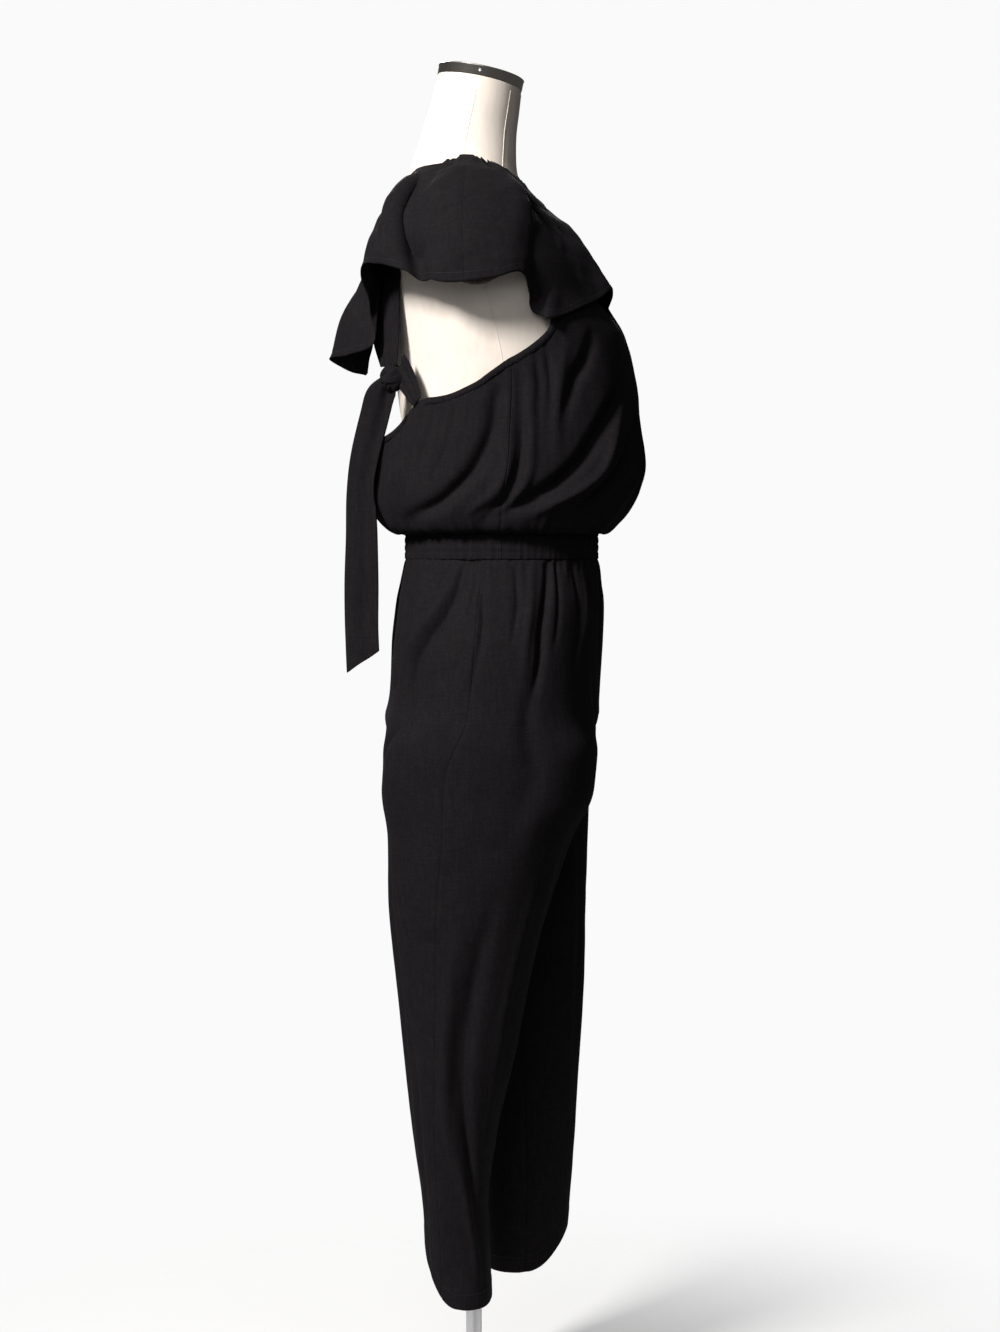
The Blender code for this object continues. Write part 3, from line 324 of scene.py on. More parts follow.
LEFT_LEG_FOLDS = (
    Fold(-4.0, 10.0, ((58, 0.740, 0.2), (66, 0.600, 1.0), (60, 0.450, 0.8), (63, 0.300, 0.2))),
    Fold(-4.0, 7.0, ((104, 1.012, 0.6), (112, 0.930, 1.0), (118, 0.860, 0.3))),
    Fold(-2.4, 4.5, ((78, 1.012, 0.8), (80, 0.965, 0.8), (77, 0.930, 0.1))),
    Fold(-5.0, 9.0, ((138, 1.012, 0.5), (150, 0.950, 1.0), (170, 0.890, 0.8), (190, 0.840, 0.1))),
    Fold(-2.8, 5.0, ((168, 1.014, 0.6), (170, 0.950, 1.0), (166, 0.880, 0.2))),
    Fold(2.8, 8.0, ((185, 1.000, 0.3), (190, 0.940, 1.0), (200, 0.880, 0.3))),
    Fold(-5.5, 10.0, ((222, 1.012, 0.5), (232, 0.950, 1.0), (246, 0.890, 0.9), (264, 0.820, 0.3))),
    Fold(-3.0, 6.0, ((268, 1.012, 0.7), (272, 0.960, 1.0), (268, 0.905, 0.2))),
    Fold(-3.6, 7.0, ((308, 1.010, 0.6), (302, 0.940, 1.0), (308, 0.870, 0.2))),
    Fold(-3.0, 6.0, ((30, 1.012, 0.7), (27, 0.955, 1.0), (31, 0.890, 0.2))),
    Fold(-4.0, 12.0, ((116, 0.820, 0.2), (124, 0.660, 1.0), (120, 0.500, 1.0), (127, 0.350, 0.4))),
    Fold(-3.6, 11.0, ((186, 0.740, 0.2), (180, 0.580, 1.0), (186, 0.420, 0.9), (180, 0.270, 0.3))),
    Fold(-4.5, 12.0, ((240, 0.720, 0.2), (246, 0.560, 1.0), (238, 0.420, 0.8), (244, 0.270, 0.3))),
    Fold(-4.0, 11.0, ((300, 0.700, 0.2), (306, 0.500, 1.0), (298, 0.330, 0.4))),
    Fold(3.2, 12.0, ((150, 0.720, 0.2), (152, 0.550, 1.0), (147, 0.340, 0.4))),
    Fold(3.2, 11.0, ((212, 0.680, 0.2), (214, 0.500, 1.0), (209, 0.300, 0.3))),
    Fold(-2.4, 6.0, ((88, 0.620, 0.1), (104, 0.600, 1.0), (126, 0.615, 0.1))),
    Fold(-2.2, 6.0, ((84, 0.290, 0.1), (96, 0.240, 1.0), (112, 0.205, 0.2))),
    Fold(-3.0, 8.0, ((60, 0.900, 0.2), (40, 0.850, 1.0), (16, 0.800, 0.3))),
)


# ---- curves and surfaces ----------------------------------------------------
def through(keys, values, at):
    """Values on a smooth curve through a table's rows, for an array of places."""
    keys, values, at = (np.asarray(v, dtype=float) for v in (keys, values, at))
    last = len(keys) - 1
    low = np.clip(np.searchsorted(keys, at, side="left") - 1, 0, last - 1)
    near = [np.clip(low + step, 0, last) for step in (-1, 0, 1, 2)]
    k = [keys[i] for i in near]
    v = [values[i] for i in near]
    span = k[2] - k[1]
    start_slope = (v[2] - v[0]) / (k[2] - k[0])
    end_slope = (v[3] - v[1]) / (k[3] - k[1])
    t = (at - k[1]) / span
    return ((2 * t**3 - 3 * t**2 + 1) * v[1] + (t**3 - 2 * t**2 + t) * span * start_slope
            + (3 * t**2 - 2 * t**3) * v[2] + (t**3 - t**2) * span * end_slope)


def column(rows, field):
    return [getattr(row, field) for row in rows]


def smooth(value):
    value = np.clip(value, 0.0, 1.0)
    return value * value * (3 - 2 * value)


def oval(turn, squareness):
    """Point of a unit superellipse: turn 0 is the front (-Y), 90 degrees the right (-X)."""
    s, c = np.sin(turn), np.cos(turn)
    power = 2 / squareness
    return -np.abs(s) ** power * np.sign(s), -np.abs(c) ** power * np.sign(c)


def body_points(rows, turn, at, keys=None):
    """Points of a section table, at heights, or at row numbers if keys are given."""
    keys = column(rows, "z") if keys is None else keys
    front, back, half, square, z = (through(keys, column(rows, field), at) for field in
                                    ("front", "back", "half_width", "squareness", "z"))
    x, y = oval(turn, square)
    return np.stack((x * half, (front + back) / 2 + y * (back - front) / 2, z), axis=-1)


def torso_points(turn, z):
    points = body_points(TORSO, turn, z)
    points[..., 0] = np.clip(points[..., 0], -ARM_PLANE, ARM_PLANE)
    return points


def bodice_rows_at(z):
    """Row numbers of the bodice table, above the roll, at heights."""
    heights = column(BODICE, "z")[2:]
    return np.interp(z, heights, np.arange(2, len(BODICE)))


def bodice_points(turn, row):
    return body_points(BODICE, turn, row, np.arange(len(BODICE)))


def leg_points(leg, turn, z):
    """A leg's surface: turn 0 inseam, 90 front, 180 side seam, 270 back (degrees)."""
    keys = column(leg, "z")
    inner, outer, front, back, square = (through(keys, column(leg, field), z)
                                         for field in LegSection._fields[1:])
    depth, side = oval(turn, square)
    loop = np.stack(((inner + outer) / 2 - side * (inner - outer) / 2,
                     (front + back) / 2 + depth * (back - front) / 2, z), axis=-1)
    part = smooth((z - CROTCH_Z) / CROTCH_BLEND)[..., None]
    across = np.clip((1 + side) / 2, 0.0, 1.0)
    above = np.arcsin(np.minimum(1.0, across ** 1.25))
    above = np.where(turn < pi, above, pi - above)
    hand = 1 if leg is RIGHT_LEG else -1
    hip_turn = above + (turn / 2 - above) * part[..., 0]
    hips = body_points(HIPS, hand * hip_turn, np.maximum(z, HIPS[0].z - 0.02))
    return loop * (1 - part) + hips * part


# ---- fields on the cloth ----------------------------------------------------
def fold_field(folds, turn, z, reach):
    """Total height of folds over a sheet; reach is metres per radian of turn."""
    total = np.zeros_like(z)
    steps = 28
    for fold in folds:
        bends = np.array(fold.path)
        places = np.linspace(0, len(bends) - 1, steps)
        u, h, strength = (through(np.arange(len(bends)), bends[:, i], places) for i in range(3))
        away = (degrees(1) * turn - bends[:, 0].mean() + 180) % 360 - 180
        away = radians(1) * away * reach
        u = radians(1) * (u - bends[:, 0].mean()) * reach
        best = np.full(z.shape, 1e9)
        force = np.zeros_like(z)
        for i in range(steps - 1):
            du, dh = u[i + 1] - u[i], h[i + 1] - h[i]
            t = np.clip(((away - u[i]) * du + (z - h[i]) * dh) / (du * du + dh * dh), 0, 1)
            gap = (away - u[i] - t * du) ** 2 + (z - h[i] - t * dh) ** 2
            closer = gap < best
            best = np.where(closer, gap, best)
            force = np.where(closer, strength[i] + (strength[i + 1] - strength[i]) * t, force)
        total += fold.depth * MM * force * np.exp(-best / (fold.width * MM) ** 2)
    return total


def gathers(turn, away, reach, count, low, high, height, length, seed, width=(1.8, 4.0)):
    """Uneven little pleats that leave a gathered edge; away is the distance from that edge."""
    rng = np.random.default_rng(seed)
    total = np.zeros_like(away)
    for k in range(count):
        place = low + (high - low) * (k + rng.uniform(0.1, 0.9)) / count
        tall = rng.uniform(*height) * MM
        wide = rng.uniform(*width) * MM
        long = length[0] * (length[1] / length[0]) ** rng.uniform(0, 1) ** 1.6
        lean = rng.uniform(-0.12, 0.12)
        du = ((turn - place + pi) % (2 * pi) - pi) * reach - lean * away
        spread = wide * (1 + away / long)
        total += tall * np.exp(-(du / spread) ** 2) * np.exp(-(away / long) ** 2)
    return total


def ripple(points, size, seed, stretch=1.0):
    """A gentle unevenness, about 1 high, made of crossing waves."""
    rng = np.random.default_rng(seed)
    total = np.zeros(points.shape[:-1])
    waves = 14
    for _ in range(waves):
        way = rng.normal(size=3)
        way /= np.linalg.norm(way)
        way[2] /= stretch
        total += np.sin(points @ way * 2 * pi / (size * rng.uniform(0.6, 1.7)) + rng.uniform(0, 2 * pi))
    return total / waves ** 0.5


def normals_of(grid, hand=1.0):
    up = np.gradient(grid, axis=0)
    across = np.gradient(grid, axis=1)
    normals = np.cross(up, across) * hand
    return normals / np.maximum(np.linalg.norm(normals, axis=-1, keepdims=True), 1e-12)


def round_normals(grid, hand=1.0):
    """Normals of a grid whose first and last columns meet."""
    wide = np.concatenate((grid[:, -2:], grid, grid[:, :2]), axis=1)
    return normals_of(wide, hand)[:, 2:-2]


def fine_ends(low, high, count, near):
    """Even steps from low to high, with closer ones at both ends."""
    inner = np.linspace(low + 4 * near, high - 4 * near, count - 8)
    ends = np.array([0.0, 0.4, 1.0, 2.0]) * near
    return np.concatenate((low + ends, inner, (high - ends)[::-1]))


# ---- meshes -----------------------------------------------------------------
def grid_faces(rows, cols, around=False):
    last = cols if around else cols - 1
    r, c = np.meshgrid(np.arange(rows - 1), np.arange(last), indexing="ij")
    d = (c + 1) % cols
    return np.stack((r * cols + c, r * cols + d, (r + 1) * cols + d, (r + 1) * cols + c),
                    axis=-1).reshape(-1, 4)


def mesh_piece(name, vertices, faces, material, sharp=None):
    mesh = bpy.data.meshes.new(name)
    mesh.from_pydata([tuple(v) for v in vertices], [], [tuple(f) for f in faces])
    mesh.materials.append(material)
    mesh.shade_smooth()
    if sharp is not None:
        mesh.set_sharp_from_angle(angle=radians(sharp))
    obj = bpy.data.objects.new(name, mesh)
    bpy.context.collection.objects.link(obj)
    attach(obj, "root")
    return obj


def shown_as(piece, node):
    """The piece is shown for a node of the frame, whose own part is hidden."""
    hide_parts(node)
    return piece


def capped_faces(rows, cols):
    """Faces of a stack of rings, with a cap on each end."""
    last = rows * cols
    caps = [tuple(range(cols - 1, -1, -1)), tuple(range(last - cols, last))]
    return [tuple(f) for f in grid_faces(rows, cols, True)] + caps


def looped_faces(rows, cols):
    """Faces of a stack of rings whose last ring joins the first."""
    return grid_faces(rows + 1, cols, True) % (rows * cols)


def shifted(faces, base):
    return [tuple(int(i) + base for i in face) for face in faces]


def cloth_piece(name, grid, hand=1.0, thickness=CLOTH):
    """A sheet through a grid of points, given its thickness about that grid."""
    faces = grid_faces(*grid.shape[:2])
    if hand > 0:
        faces = faces[:, ::-1]
    obj = mesh_piece(name, grid.reshape(-1, 3), faces, CREPE)
    wall = obj.modifiers.new("thickness", "SOLIDIFY")
    wall.thickness = thickness
    wall.offset = 0.0
    wall.use_even_offset = False
    return obj


def skin_tree(points):
    """A closed stack of rings as something that distances can be measured from."""
    rows, cols = points.shape[:2]
    return BVHTree.FromPolygons([tuple(p) for p in points.reshape(-1, 3)],
                                [tuple(f) for f in grid_faces(rows, cols, True)[:, ::-1]])


def keep_clear(grid, skins, gap):
    """Moves points out to a distance from each skin, where they are nearer or inside."""
    gap = np.broadcast_to(gap, grid.shape[:2])
    for index in np.ndindex(grid.shape[:2]):
        point = Vector(grid[index])
        need = float(gap[index])
        for _ in range(2):
            for tree in skins:
                place, normal, _face, distance = tree.find_nearest(point)
                inside = (point - place).dot(normal) < 0
                if inside or distance < need:
                    way = normal if inside or distance < 1e-6 else (point - place).normalized()
                    point = place + way * need
        grid[index] = point
    return grid


def stitches(name, path, normals):
    """A row of raised thread stitches along a line of points."""
    spacing, length, radius, lift, sides = 2.6 * MM, 1.9 * MM, 0.22, 0.16, 6
    spans = np.linalg.norm(np.diff(path, axis=0), axis=1)
    run = np.concatenate(([0.0], np.cumsum(spans)))
    vertices, faces = [], []
    for k in range(int(run[-1] / spacing)):
        start = (k + 0.5) * spacing - length / 2
        ends = [np.array([np.interp(start + s * length, run, path[:, a]) for a in range(3)])
                for s in (0.0, 0.5, 1.0)]
        out = np.array([np.interp(start, run, normals[:, a]) for a in range(3)])
        out /= np.linalg.norm(out)
        along = ends[2] - ends[0]
        along /= np.linalg.norm(along)
        side = np.cross(along, out)
        faces += shifted(capped_faces(3, sides), len(vertices))
        for point, fat, high in zip(ends, (0.35, 1.0, 0.35), (0.0, lift, 0.0)):
            for i in range(sides):
                a = 2 * pi * i / sides
                vertices.append(point + (side * cos(a) + out * (sin(a) + high)) * radius * MM * fat)
    obj = mesh_piece(name, vertices, faces, THREAD)
    return obj


def turned(name, profile, material, sides=96, centre=(0.0, 0.0)):
    """A solid of revolution about a vertical axis, from (radius, z) pairs."""
    angles = np.arange(sides) * 2 * pi / sides
    rings = np.array([[(centre[0] + r * cos(a), centre[1] + r * sin(a), z) for a in angles]
                      for r, z in profile])
    return mesh_piece(name, rings.reshape(-1, 3), capped_faces(len(profile), sides), material, 35)


def rounded(corners, radius, steps=5):
    """A profile with its corners rounded."""
    points = [corners[0]]
    for before, corner, after in zip(corners, corners[1:], corners[2:]):
        b, c, a = (np.array(p, dtype=float) for p in (before, corner, after))
        size = min(radius, np.linalg.norm(b - c) / 2, np.linalg.norm(a - c) / 2)
        start = c + (b - c) / np.linalg.norm(b - c) * size
        end = c + (a - c) / np.linalg.norm(a - c) * size
        for k in range(steps + 1):
            t = k / steps
            points.append(tuple((1 - t) ** 2 * start + 2 * t * (1 - t) * c + t * t * end))
    points.append(corners[-1])
    return points


def tube(name, lines, radius, material, sides=8):
    """Round tubes along one or more lines of points."""
    vertices, faces = [], []
    for line in lines:
        along = np.gradient(line, axis=0)
        along /= np.linalg.norm(along, axis=1, keepdims=True)
        side = np.cross(along, (0.31, 0.17, 0.93))
        side /= np.linalg.norm(side, axis=1, keepdims=True)
        up = np.cross(side, along)
        faces += shifted(capped_faces(len(line), sides), len(vertices))
        for p, s, n in zip(line, side, up):
            vertices += [p + (s * cos(2 * pi * i / sides) + n * sin(2 * pi * i / sides)) * radius
                         for i in range(sides)]
    return mesh_piece(name, vertices, faces, material)


# ---- materials --------------------------------------------------------------
def shader_of(name, colour, roughness, metallic=0.0):
    material = bpy.data.materials.new(name)
    material.use_nodes = True
    shader = material.node_tree.nodes["Principled BSDF"]
    shader.inputs["Base Color"].default_value = (*colour, 1)
    shader.inputs["Roughness"].default_value = roughness
    shader.inputs["Metallic"].default_value = metallic
    return material, material.node_tree, shader


def mapped(tree, kind, stretch, sockets):
    """A texture node in the object's own coordinates."""
    coordinates = tree.nodes.new("ShaderNodeTexCoord")
    mapping = tree.nodes.new("ShaderNodeMapping")
    mapping.inputs["Scale"].default_value = stretch
    texture = tree.nodes.new(kind)
    for socket, value in sockets.items():
        texture.inputs[socket].default_value = value
    tree.links.new(coordinates.outputs["Object"], mapping.inputs["Vector"])
    tree.links.new(mapping.outputs["Vector"], texture.inputs["Vector"])
    return texture


def noise_node(tree, scale, detail=3.0, roughness=0.55, stretch=(1, 1, 1)):
    sockets = {"Scale": scale, "Detail": detail, "Roughness": roughness}
    return mapped(tree, "ShaderNodeTexNoise", stretch, sockets).outputs["Fac"]


def wave_node(tree, scale, direction, distortion=1.0, stretch=(1, 1, 1)):
    sockets = {"Scale": scale, "Distortion": distortion, "Detail": 2.0, "Detail Scale": 1.2}
    wave = mapped(tree, "ShaderNodeTexWave", stretch, sockets)
    wave.bands_direction = direction
    return wave.outputs["Fac"]


def colour_by(tree, shader, value, stops):
    """Base colour from a value, through (position, colour) stops."""
    ramp = tree.nodes.new("ShaderNodeValToRGB")
    for element, (position, colour) in zip(ramp.color_ramp.elements, (stops[0], stops[-1])):
        element.position = position
        element.color = (*colour, 1)
    for position, colour in stops[1:-1]:
        ramp.color_ramp.elements.new(position).color = (*colour, 1)
    tree.links.new(value, ramp.inputs["Fac"])
    tree.links.new(ramp.outputs["Color"], shader.inputs["Base Color"])


def sum_node(tree, parts):
    """Adds (value, weight) pairs."""
    total = None
    for value, weight in parts:
        scaled = tree.nodes.new("ShaderNodeMath")
        scaled.operation = "MULTIPLY_ADD"
        tree.links.new(value, scaled.inputs[0])
        scaled.inputs[1].default_value = weight
        scaled.inputs[2].default_value = 0.0
        if total is not None:
            tree.links.new(total, scaled.inputs[2])
        total = scaled.outputs["Value"]
    return total


def bump(tree, shader, height, distance, strength=1.0):
    node = tree.nodes.new("ShaderNodeBump")
    node.inputs["Distance"].default_value = distance
    node.inputs["Strength"].default_value = strength
    tree.links.new(height, node.inputs["Height"])
    tree.links.new(node.outputs["Normal"], shader.inputs["Normal"])


def crepe():
    """Near-black crepe: a fine pebbled crinkle, with slubs along the warp."""
    material, tree, shader = shader_of("crepe", (0.013, 0.012, 0.014), 0.88)
    pebble = noise_node(tree, 620, 3.0, 0.6)
    slub = noise_node(tree, 260, 2.0, 0.5, (1, 1, 0.16))
    cross = noise_node(tree, 240, 2.0, 0.5, (0.25, 0.25, 1.6))
    cloud = noise_node(tree, 26, 3.0)
    tone = sum_node(tree, ((pebble, 0.52), (slub, 0.22), (cross, 0.14), (cloud, 0.12)))
    colour_by(tree, shader, tone, (
        (0.34, (0.0062, 0.0055, 0.0065)),
        (0.50, (0.0098, 0.0086, 0.0099)),
        (0.66, (0.0150, 0.0132, 0.0150))))
    bump(tree, shader, sum_node(tree, ((pebble, 0.6), (slub, 0.5), (cross, 0.35))), 0.00050, 0.60)
    shader.inputs["Sheen Weight"].default_value = 0.018
    shader.inputs["Sheen Roughness"].default_value = 0.45
    shader.inputs["Sheen Tint"].default_value = (0.62, 0.58, 0.66, 1)
    shader.inputs["Specular IOR Level"].default_value = 0.05
    return material


def linen():
    """Cream linen over the form's padding: a plain weave with uneven threads."""
    material, tree, shader = shader_of("linen", (0.84, 0.76, 0.68), 0.92)
    warp = wave_node(tree, 330, "Z", 1.2)
    weft = wave_node(tree, 330, "X", 1.2)
    weft_side = wave_node(tree, 330, "Y", 1.2)
    slub = noise_node(tree, 140, 3.0, 0.6, (1, 1, 0.25))
    cloud = noise_node(tree, 9, 4.0)
    tone = sum_node(tree, ((slub, 0.35), (cloud, 0.65)))
    colour_by(tree, shader, tone, (
        (0.34, (0.765, 0.668, 0.590)),
        (0.52, (0.840, 0.752, 0.672)),
        (0.68, (0.880, 0.806, 0.728))))
    bump(tree, shader, sum_node(tree, ((warp, 0.3), (weft, 0.2), (weft_side, 0.2), (slub, 0.5))),
         0.00022, 0.6)
    shader.inputs["Sheen Weight"].default_value = 0.10
    shader.inputs["Specular IOR Level"].default_value = 0.20
    return material


def metal(name, colour, roughness, grain=(1, 1, 14)):
    material, tree, shader = shader_of(name, colour, roughness, 1.0)
    brushed = noise_node(tree, 120, 4.0, 0.6, grain)
    blotch = noise_node(tree, 30, 3.0)
    rough = tree.nodes.new("ShaderNodeMapRange")
    rough.inputs["To Min"].default_value = roughness * 0.75
    rough.inputs["To Max"].default_value = roughness * 1.45
    tree.links.new(sum_node(tree, ((brushed, 0.6), (blotch, 0.4))), rough.inputs["Value"])
    tree.links.new(rough.outputs["Result"], shader.inputs["Roughness"])
    bump(tree, shader, brushed, 0.00005, 0.6)
    return material


def wood():
    material, tree, shader = shader_of("stained_wood", (0.12, 0.08, 0.055), 0.45)
    grain = wave_node(tree, 38, "Y", 7.0, (1, 1, 0.18))
    fine = noise_node(tree, 420, 4.0, 0.6, (1, 1, 0.08))
    tone = sum_node(tree, ((grain, 0.45), (fine, 0.55)))
    colour_by(tree, shader, tone, (
        (0.25, (0.060, 0.040, 0.028)),
        (0.55, (0.085, 0.058, 0.041)),
        (0.80, (0.115, 0.080, 0.057))))
    bump(tree, shader, fine, 0.0001, 0.5)
    shader.inputs["Coat Weight"].default_value = 0.15
    shader.inputs["Coat Roughness"].default_value = 0.35
    return material


def satin_paint():
    material, tree, shader = shader_of("satin_paint", (0.60, 0.595, 0.585), 0.42)
    peel = noise_node(tree, 340, 2.0)
    wear = noise_node(tree, 24, 5.0, 0.65)
    colour_by(tree, shader, wear, (
        (0.30, (0.545, 0.540, 0.530)),
        (0.60, (0.630, 0.625, 0.615))))
    bump(tree, shader, peel, 0.00006, 0.5)
    return material


def thread():
    material, tree, shader = shader_of("thread", (0.010, 0.010, 0.011), 0.55)
    twist = wave_node(tree, 900, "DIAGONAL", 0.5)
    bump(tree, shader, twist, 0.00008, 0.6)
    return material


CREPE = crepe()
LINEN = linen()
NICKEL = metal("nickel", (0.56, 0.52, 0.47), 0.26, (1, 1, 10))
STEEL = metal("steel", (0.60, 0.60, 0.61), 0.26, (8, 8, 0.4))
WOOD = wood()
PAINT = satin_paint()
THREAD = thread()


# ---- dress form and stand ---------------------------------------------------
def neck_loop(height, radius, sides):
    """A circle on the neck's tilted cut, a height above it, starting at the front."""
    up = np.array((0, -sin(NECK_TILT), cos(NECK_TILT)))
    front = np.array((0, -cos(NECK_TILT), -sin(NECK_TILT)))
    centre = np.array((0, NECK_TOP_Y, NECK_TOP_Z)) + up * height
    a = np.linspace(0, 2 * pi, sides, endpoint=False)[:, None]
    return centre + front * radius * np.cos(a) + np.array((-1, 0, 0)) * radius * np.sin(a)


def form_grid(sides, heights):
    turn, z = np.meshgrid(np.linspace(0, 2 * pi, sides, endpoint=False), heights)
    return torso_points(turn, z)


def form_cover():
    """The linen cover and its seam ridges; returns the skin that the cloth keeps clear of."""
    sides = 144
    heights = np.concatenate(([0.8462, 0.8475, 0.8510], np.arange(0.858, 1.5451, 0.0045)))
    grid = form_grid(sides, heights)
    for row, inset in ((0, 0.965), (1, 0.985)):
        middle = grid[row].mean(axis=0)
        grid[row] = middle + (grid[row] - middle) * inset
    neck = np.array([grid[-1] + (neck_loop(0.0, NECK_RADIUS, sides) - grid[-1]) * t
                     for t in (0.33, 0.66, 1.0)])
    rings = np.concatenate((grid, neck))
    faces = capped_faces(len(rings), sides)
    cover = mesh_piece("form_cover", rings.reshape(-1, 3), faces, LINEN, 50)
    shown_as(cover, "form_torso")
    seams = []
    for turn in (0, 40, 90, 140, 180, 220, 270, 320):
        z = np.arange(0.852, 1.566, 0.006)
        princess = turn % 90 != 0
        line = torso_points(radians(turn) + np.sin((z - 0.85) * 4.2) * 0.05 * princess, z)
        keep = np.abs(line[:, 0]) < ARM_PLANE - 0.0005
        runs = np.split(np.arange(len(z)), np.where(np.diff(keep.astype(int)) != 0)[0] + 1)
        seams += [line[run] for run in runs if keep[run[0]] and len(run) > 3]
    ridge = tube("form_seams", seams, 0.55 * MM, LINEN)
    return skin_tree(form_grid(96, np.arange(0.846, 1.546, 0.008)))


def neck_trim():
    """The rolled metal band round the neck, its dished cap and a screw on each side."""
    sides = 96
    base, top = 0.0004, 0.0004 + RING_HEIGHT
    outside = NECK_RADIUS + 0.0006
    inside = outside - RING_WALL
    lip = outside + 0.0005
    profile = ((base, outside - 0.0004), (base + 0.0005, outside), (top - 0.0022, outside),
               (top - 0.0016, lip), (top - 0.0006, lip), (top, outside - 0.0002),
               (top, inside + 0.0003), (top - 0.0004, inside), (base, inside))
    rings = np.array([neck_loop(h, r, sides) for h, r in profile])
    faces = looped_faces(len(profile), sides)
    band = mesh_piece("neck_band_rolled", rings.reshape(-1, 3), faces, NICKEL, 40)
    shown_as(band, "neck_band")
    fit = inside - 0.0004
    crown = top - 0.0010
    levels = ((crown - 0.004, fit), (crown - 0.0016, fit), (crown - 0.0006, fit - 0.0010),
              (crown - 0.0004, fit - 0.003), (crown - 0.0012, fit - 0.012), (crown - 0.0014, 0.004))
    rings = np.array([neck_loop(h, r, sides) for h, r in levels])
    faces = capped_faces(len(levels), sides)
    cap = mesh_piece("neck_cap_dished", rings.reshape(-1, 3), faces, NICKEL, 40)
    shown_as(cap, "neck_cap")
    head = ((0.0, 2.1), (0.6, 2.1), (0.95, 1.6), (1.05, 0.5))     # height and radius, mm
    for name, angle, hand in (("band_screw_right", 90, -1.0), ("band_screw_left", 270, 1.0)):
        middle = neck_loop(base + RING_HEIGHT * 0.45, outside, 360)[angle]
        out = np.array((hand, 0, 0))
        vertices = [middle + out * high * MM + np.array((0, cos(a), sin(a))) * wide * MM
                    for high, wide in head for a in np.linspace(0, 2 * pi, 20, endpoint=False)]
        screw = mesh_piece(name, vertices, capped_faces(len(head), 20), STEEL, 30)


def arm_plate(name, node, hand):
    """An oval disc over the cut of an arm, with a rounded rim."""
    sides = 96
    a = np.linspace(0, 2 * pi, sides, endpoint=False)
    profile = ((0.0004, 0.0), (PLATE_THICK - 0.0028, 0.0), (PLATE_THICK - 0.0012, 0.0006),
               (PLATE_THICK - 0.0003, 0.0018), (PLATE_THICK, 0.0036))
    rings = np.array([np.stack((np.full(sides, hand * (ARM_PLANE + out)),
                                PLATE_Y + (PLATE_HALF_DEPTH - inset) * np.cos(a),
                                PLATE_Z + (PLATE_HALF_HEIGHT - inset) * np.sin(a)), axis=1)
                      for out, inset in profile])
    faces = capped_faces(len(profile), sides)
    shown_as(mesh_piece(name, rings.reshape(-1, 3), faces, WOOD, 40), node)


def stand():
    """Base plate, flange with its screws, pole and collar, on the solids' own boxes."""
    low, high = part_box("base")
    rim, top = (high[0] - low[0]) / 2, high[2]
    corners = ((0.02, 0.0), (rim, 0.0), (rim, 0.010), (rim - 0.006, 0.011), (0.110, 0.0165),
               (0.050, top), (0.010, top))
    shown_as(turned("base_plate", rounded(corners, 0.003), PAINT, 160), "base")
    low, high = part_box("pole_flange")
    foot, top = low[2], high[2]
    corners = ((0.005, foot), (0.034, foot), (0.034, foot + 0.004), (0.024, top - 0.001),
               (0.0125, top), (0.005, top))
    shown_as(turned("flange", rounded(corners, 0.0015), STEEL), "pole_flange")
    head = ((0.0034, foot + 0.004), (0.0034, foot + 0.0095), (0.0028, foot + 0.0106),
            (0.0010, foot + 0.0112))
    for k in range(3):
        a = 2 * pi * k / 3 + 0.4
        screw = turned("flange_screw_%d" % (k + 1), head, STEEL, 24, (0.0275 * cos(a), 0.0275 * sin(a)))
    low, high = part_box("pole")
    tall = ((0.0095, low[2]), (0.0095, (low[2] + high[2]) / 2), (0.0095, high[2]))
    shown_as(turned("pole_tube", tall, STEEL), "pole")
    low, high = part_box("pole_collar")
    corners = ((0.0098, low[2]), (0.019, low[2]), (0.022, low[2] + 0.004), (0.022, high[2]),
               (0.0098, high[2]))
    shown_as(turned("collar", rounded(corners, 0.0015), WOOD), "pole_collar")


# ---- garment ----------------------------------------------------------------
# radii that turn an angle round the body into a length of cloth
BODICE_REACH = 0.160
WAIST_REACH = 0.130
LEG_REACH = 0.085
PUCKER_PITCH = 0.0042       # along a casing
WAIST_ROWS = (1.0305, 1.0390, 1.0475)      # heights of the stitched rows
HEM_DEPTH = 0.0205
HEM_STITCH = 0.0195


def edge_heights(edge, turn):
    return through(column(edge, "turn"), column(edge, "z"), degrees(1) * turn)


def press_seams(relief, halves, reach, spread):
    """A dip along both edges of each half, with a low ridge beside it."""
    away = np.concatenate([np.minimum(h - h[0], h[-1] - h) for h in halves]) * reach
    relief -= 0.45 * MM * np.exp(-(away / (1.2 * MM)) ** 2)
    relief += 0.35 * MM * np.exp(-((away - 4 * MM) / (spread * MM)) ** 2)


def hemmed(node, part, hand, row):
    """A panel of cloth and the stitches along its hem."""
    panel = shown_as(cloth_piece(node + "_cloth", part, hand), node)
    out = normals_of(part, hand)[row]
    return panel, stitches(node + "_hem_stitch", part[row] + out * CLOTH * 0.55, out)


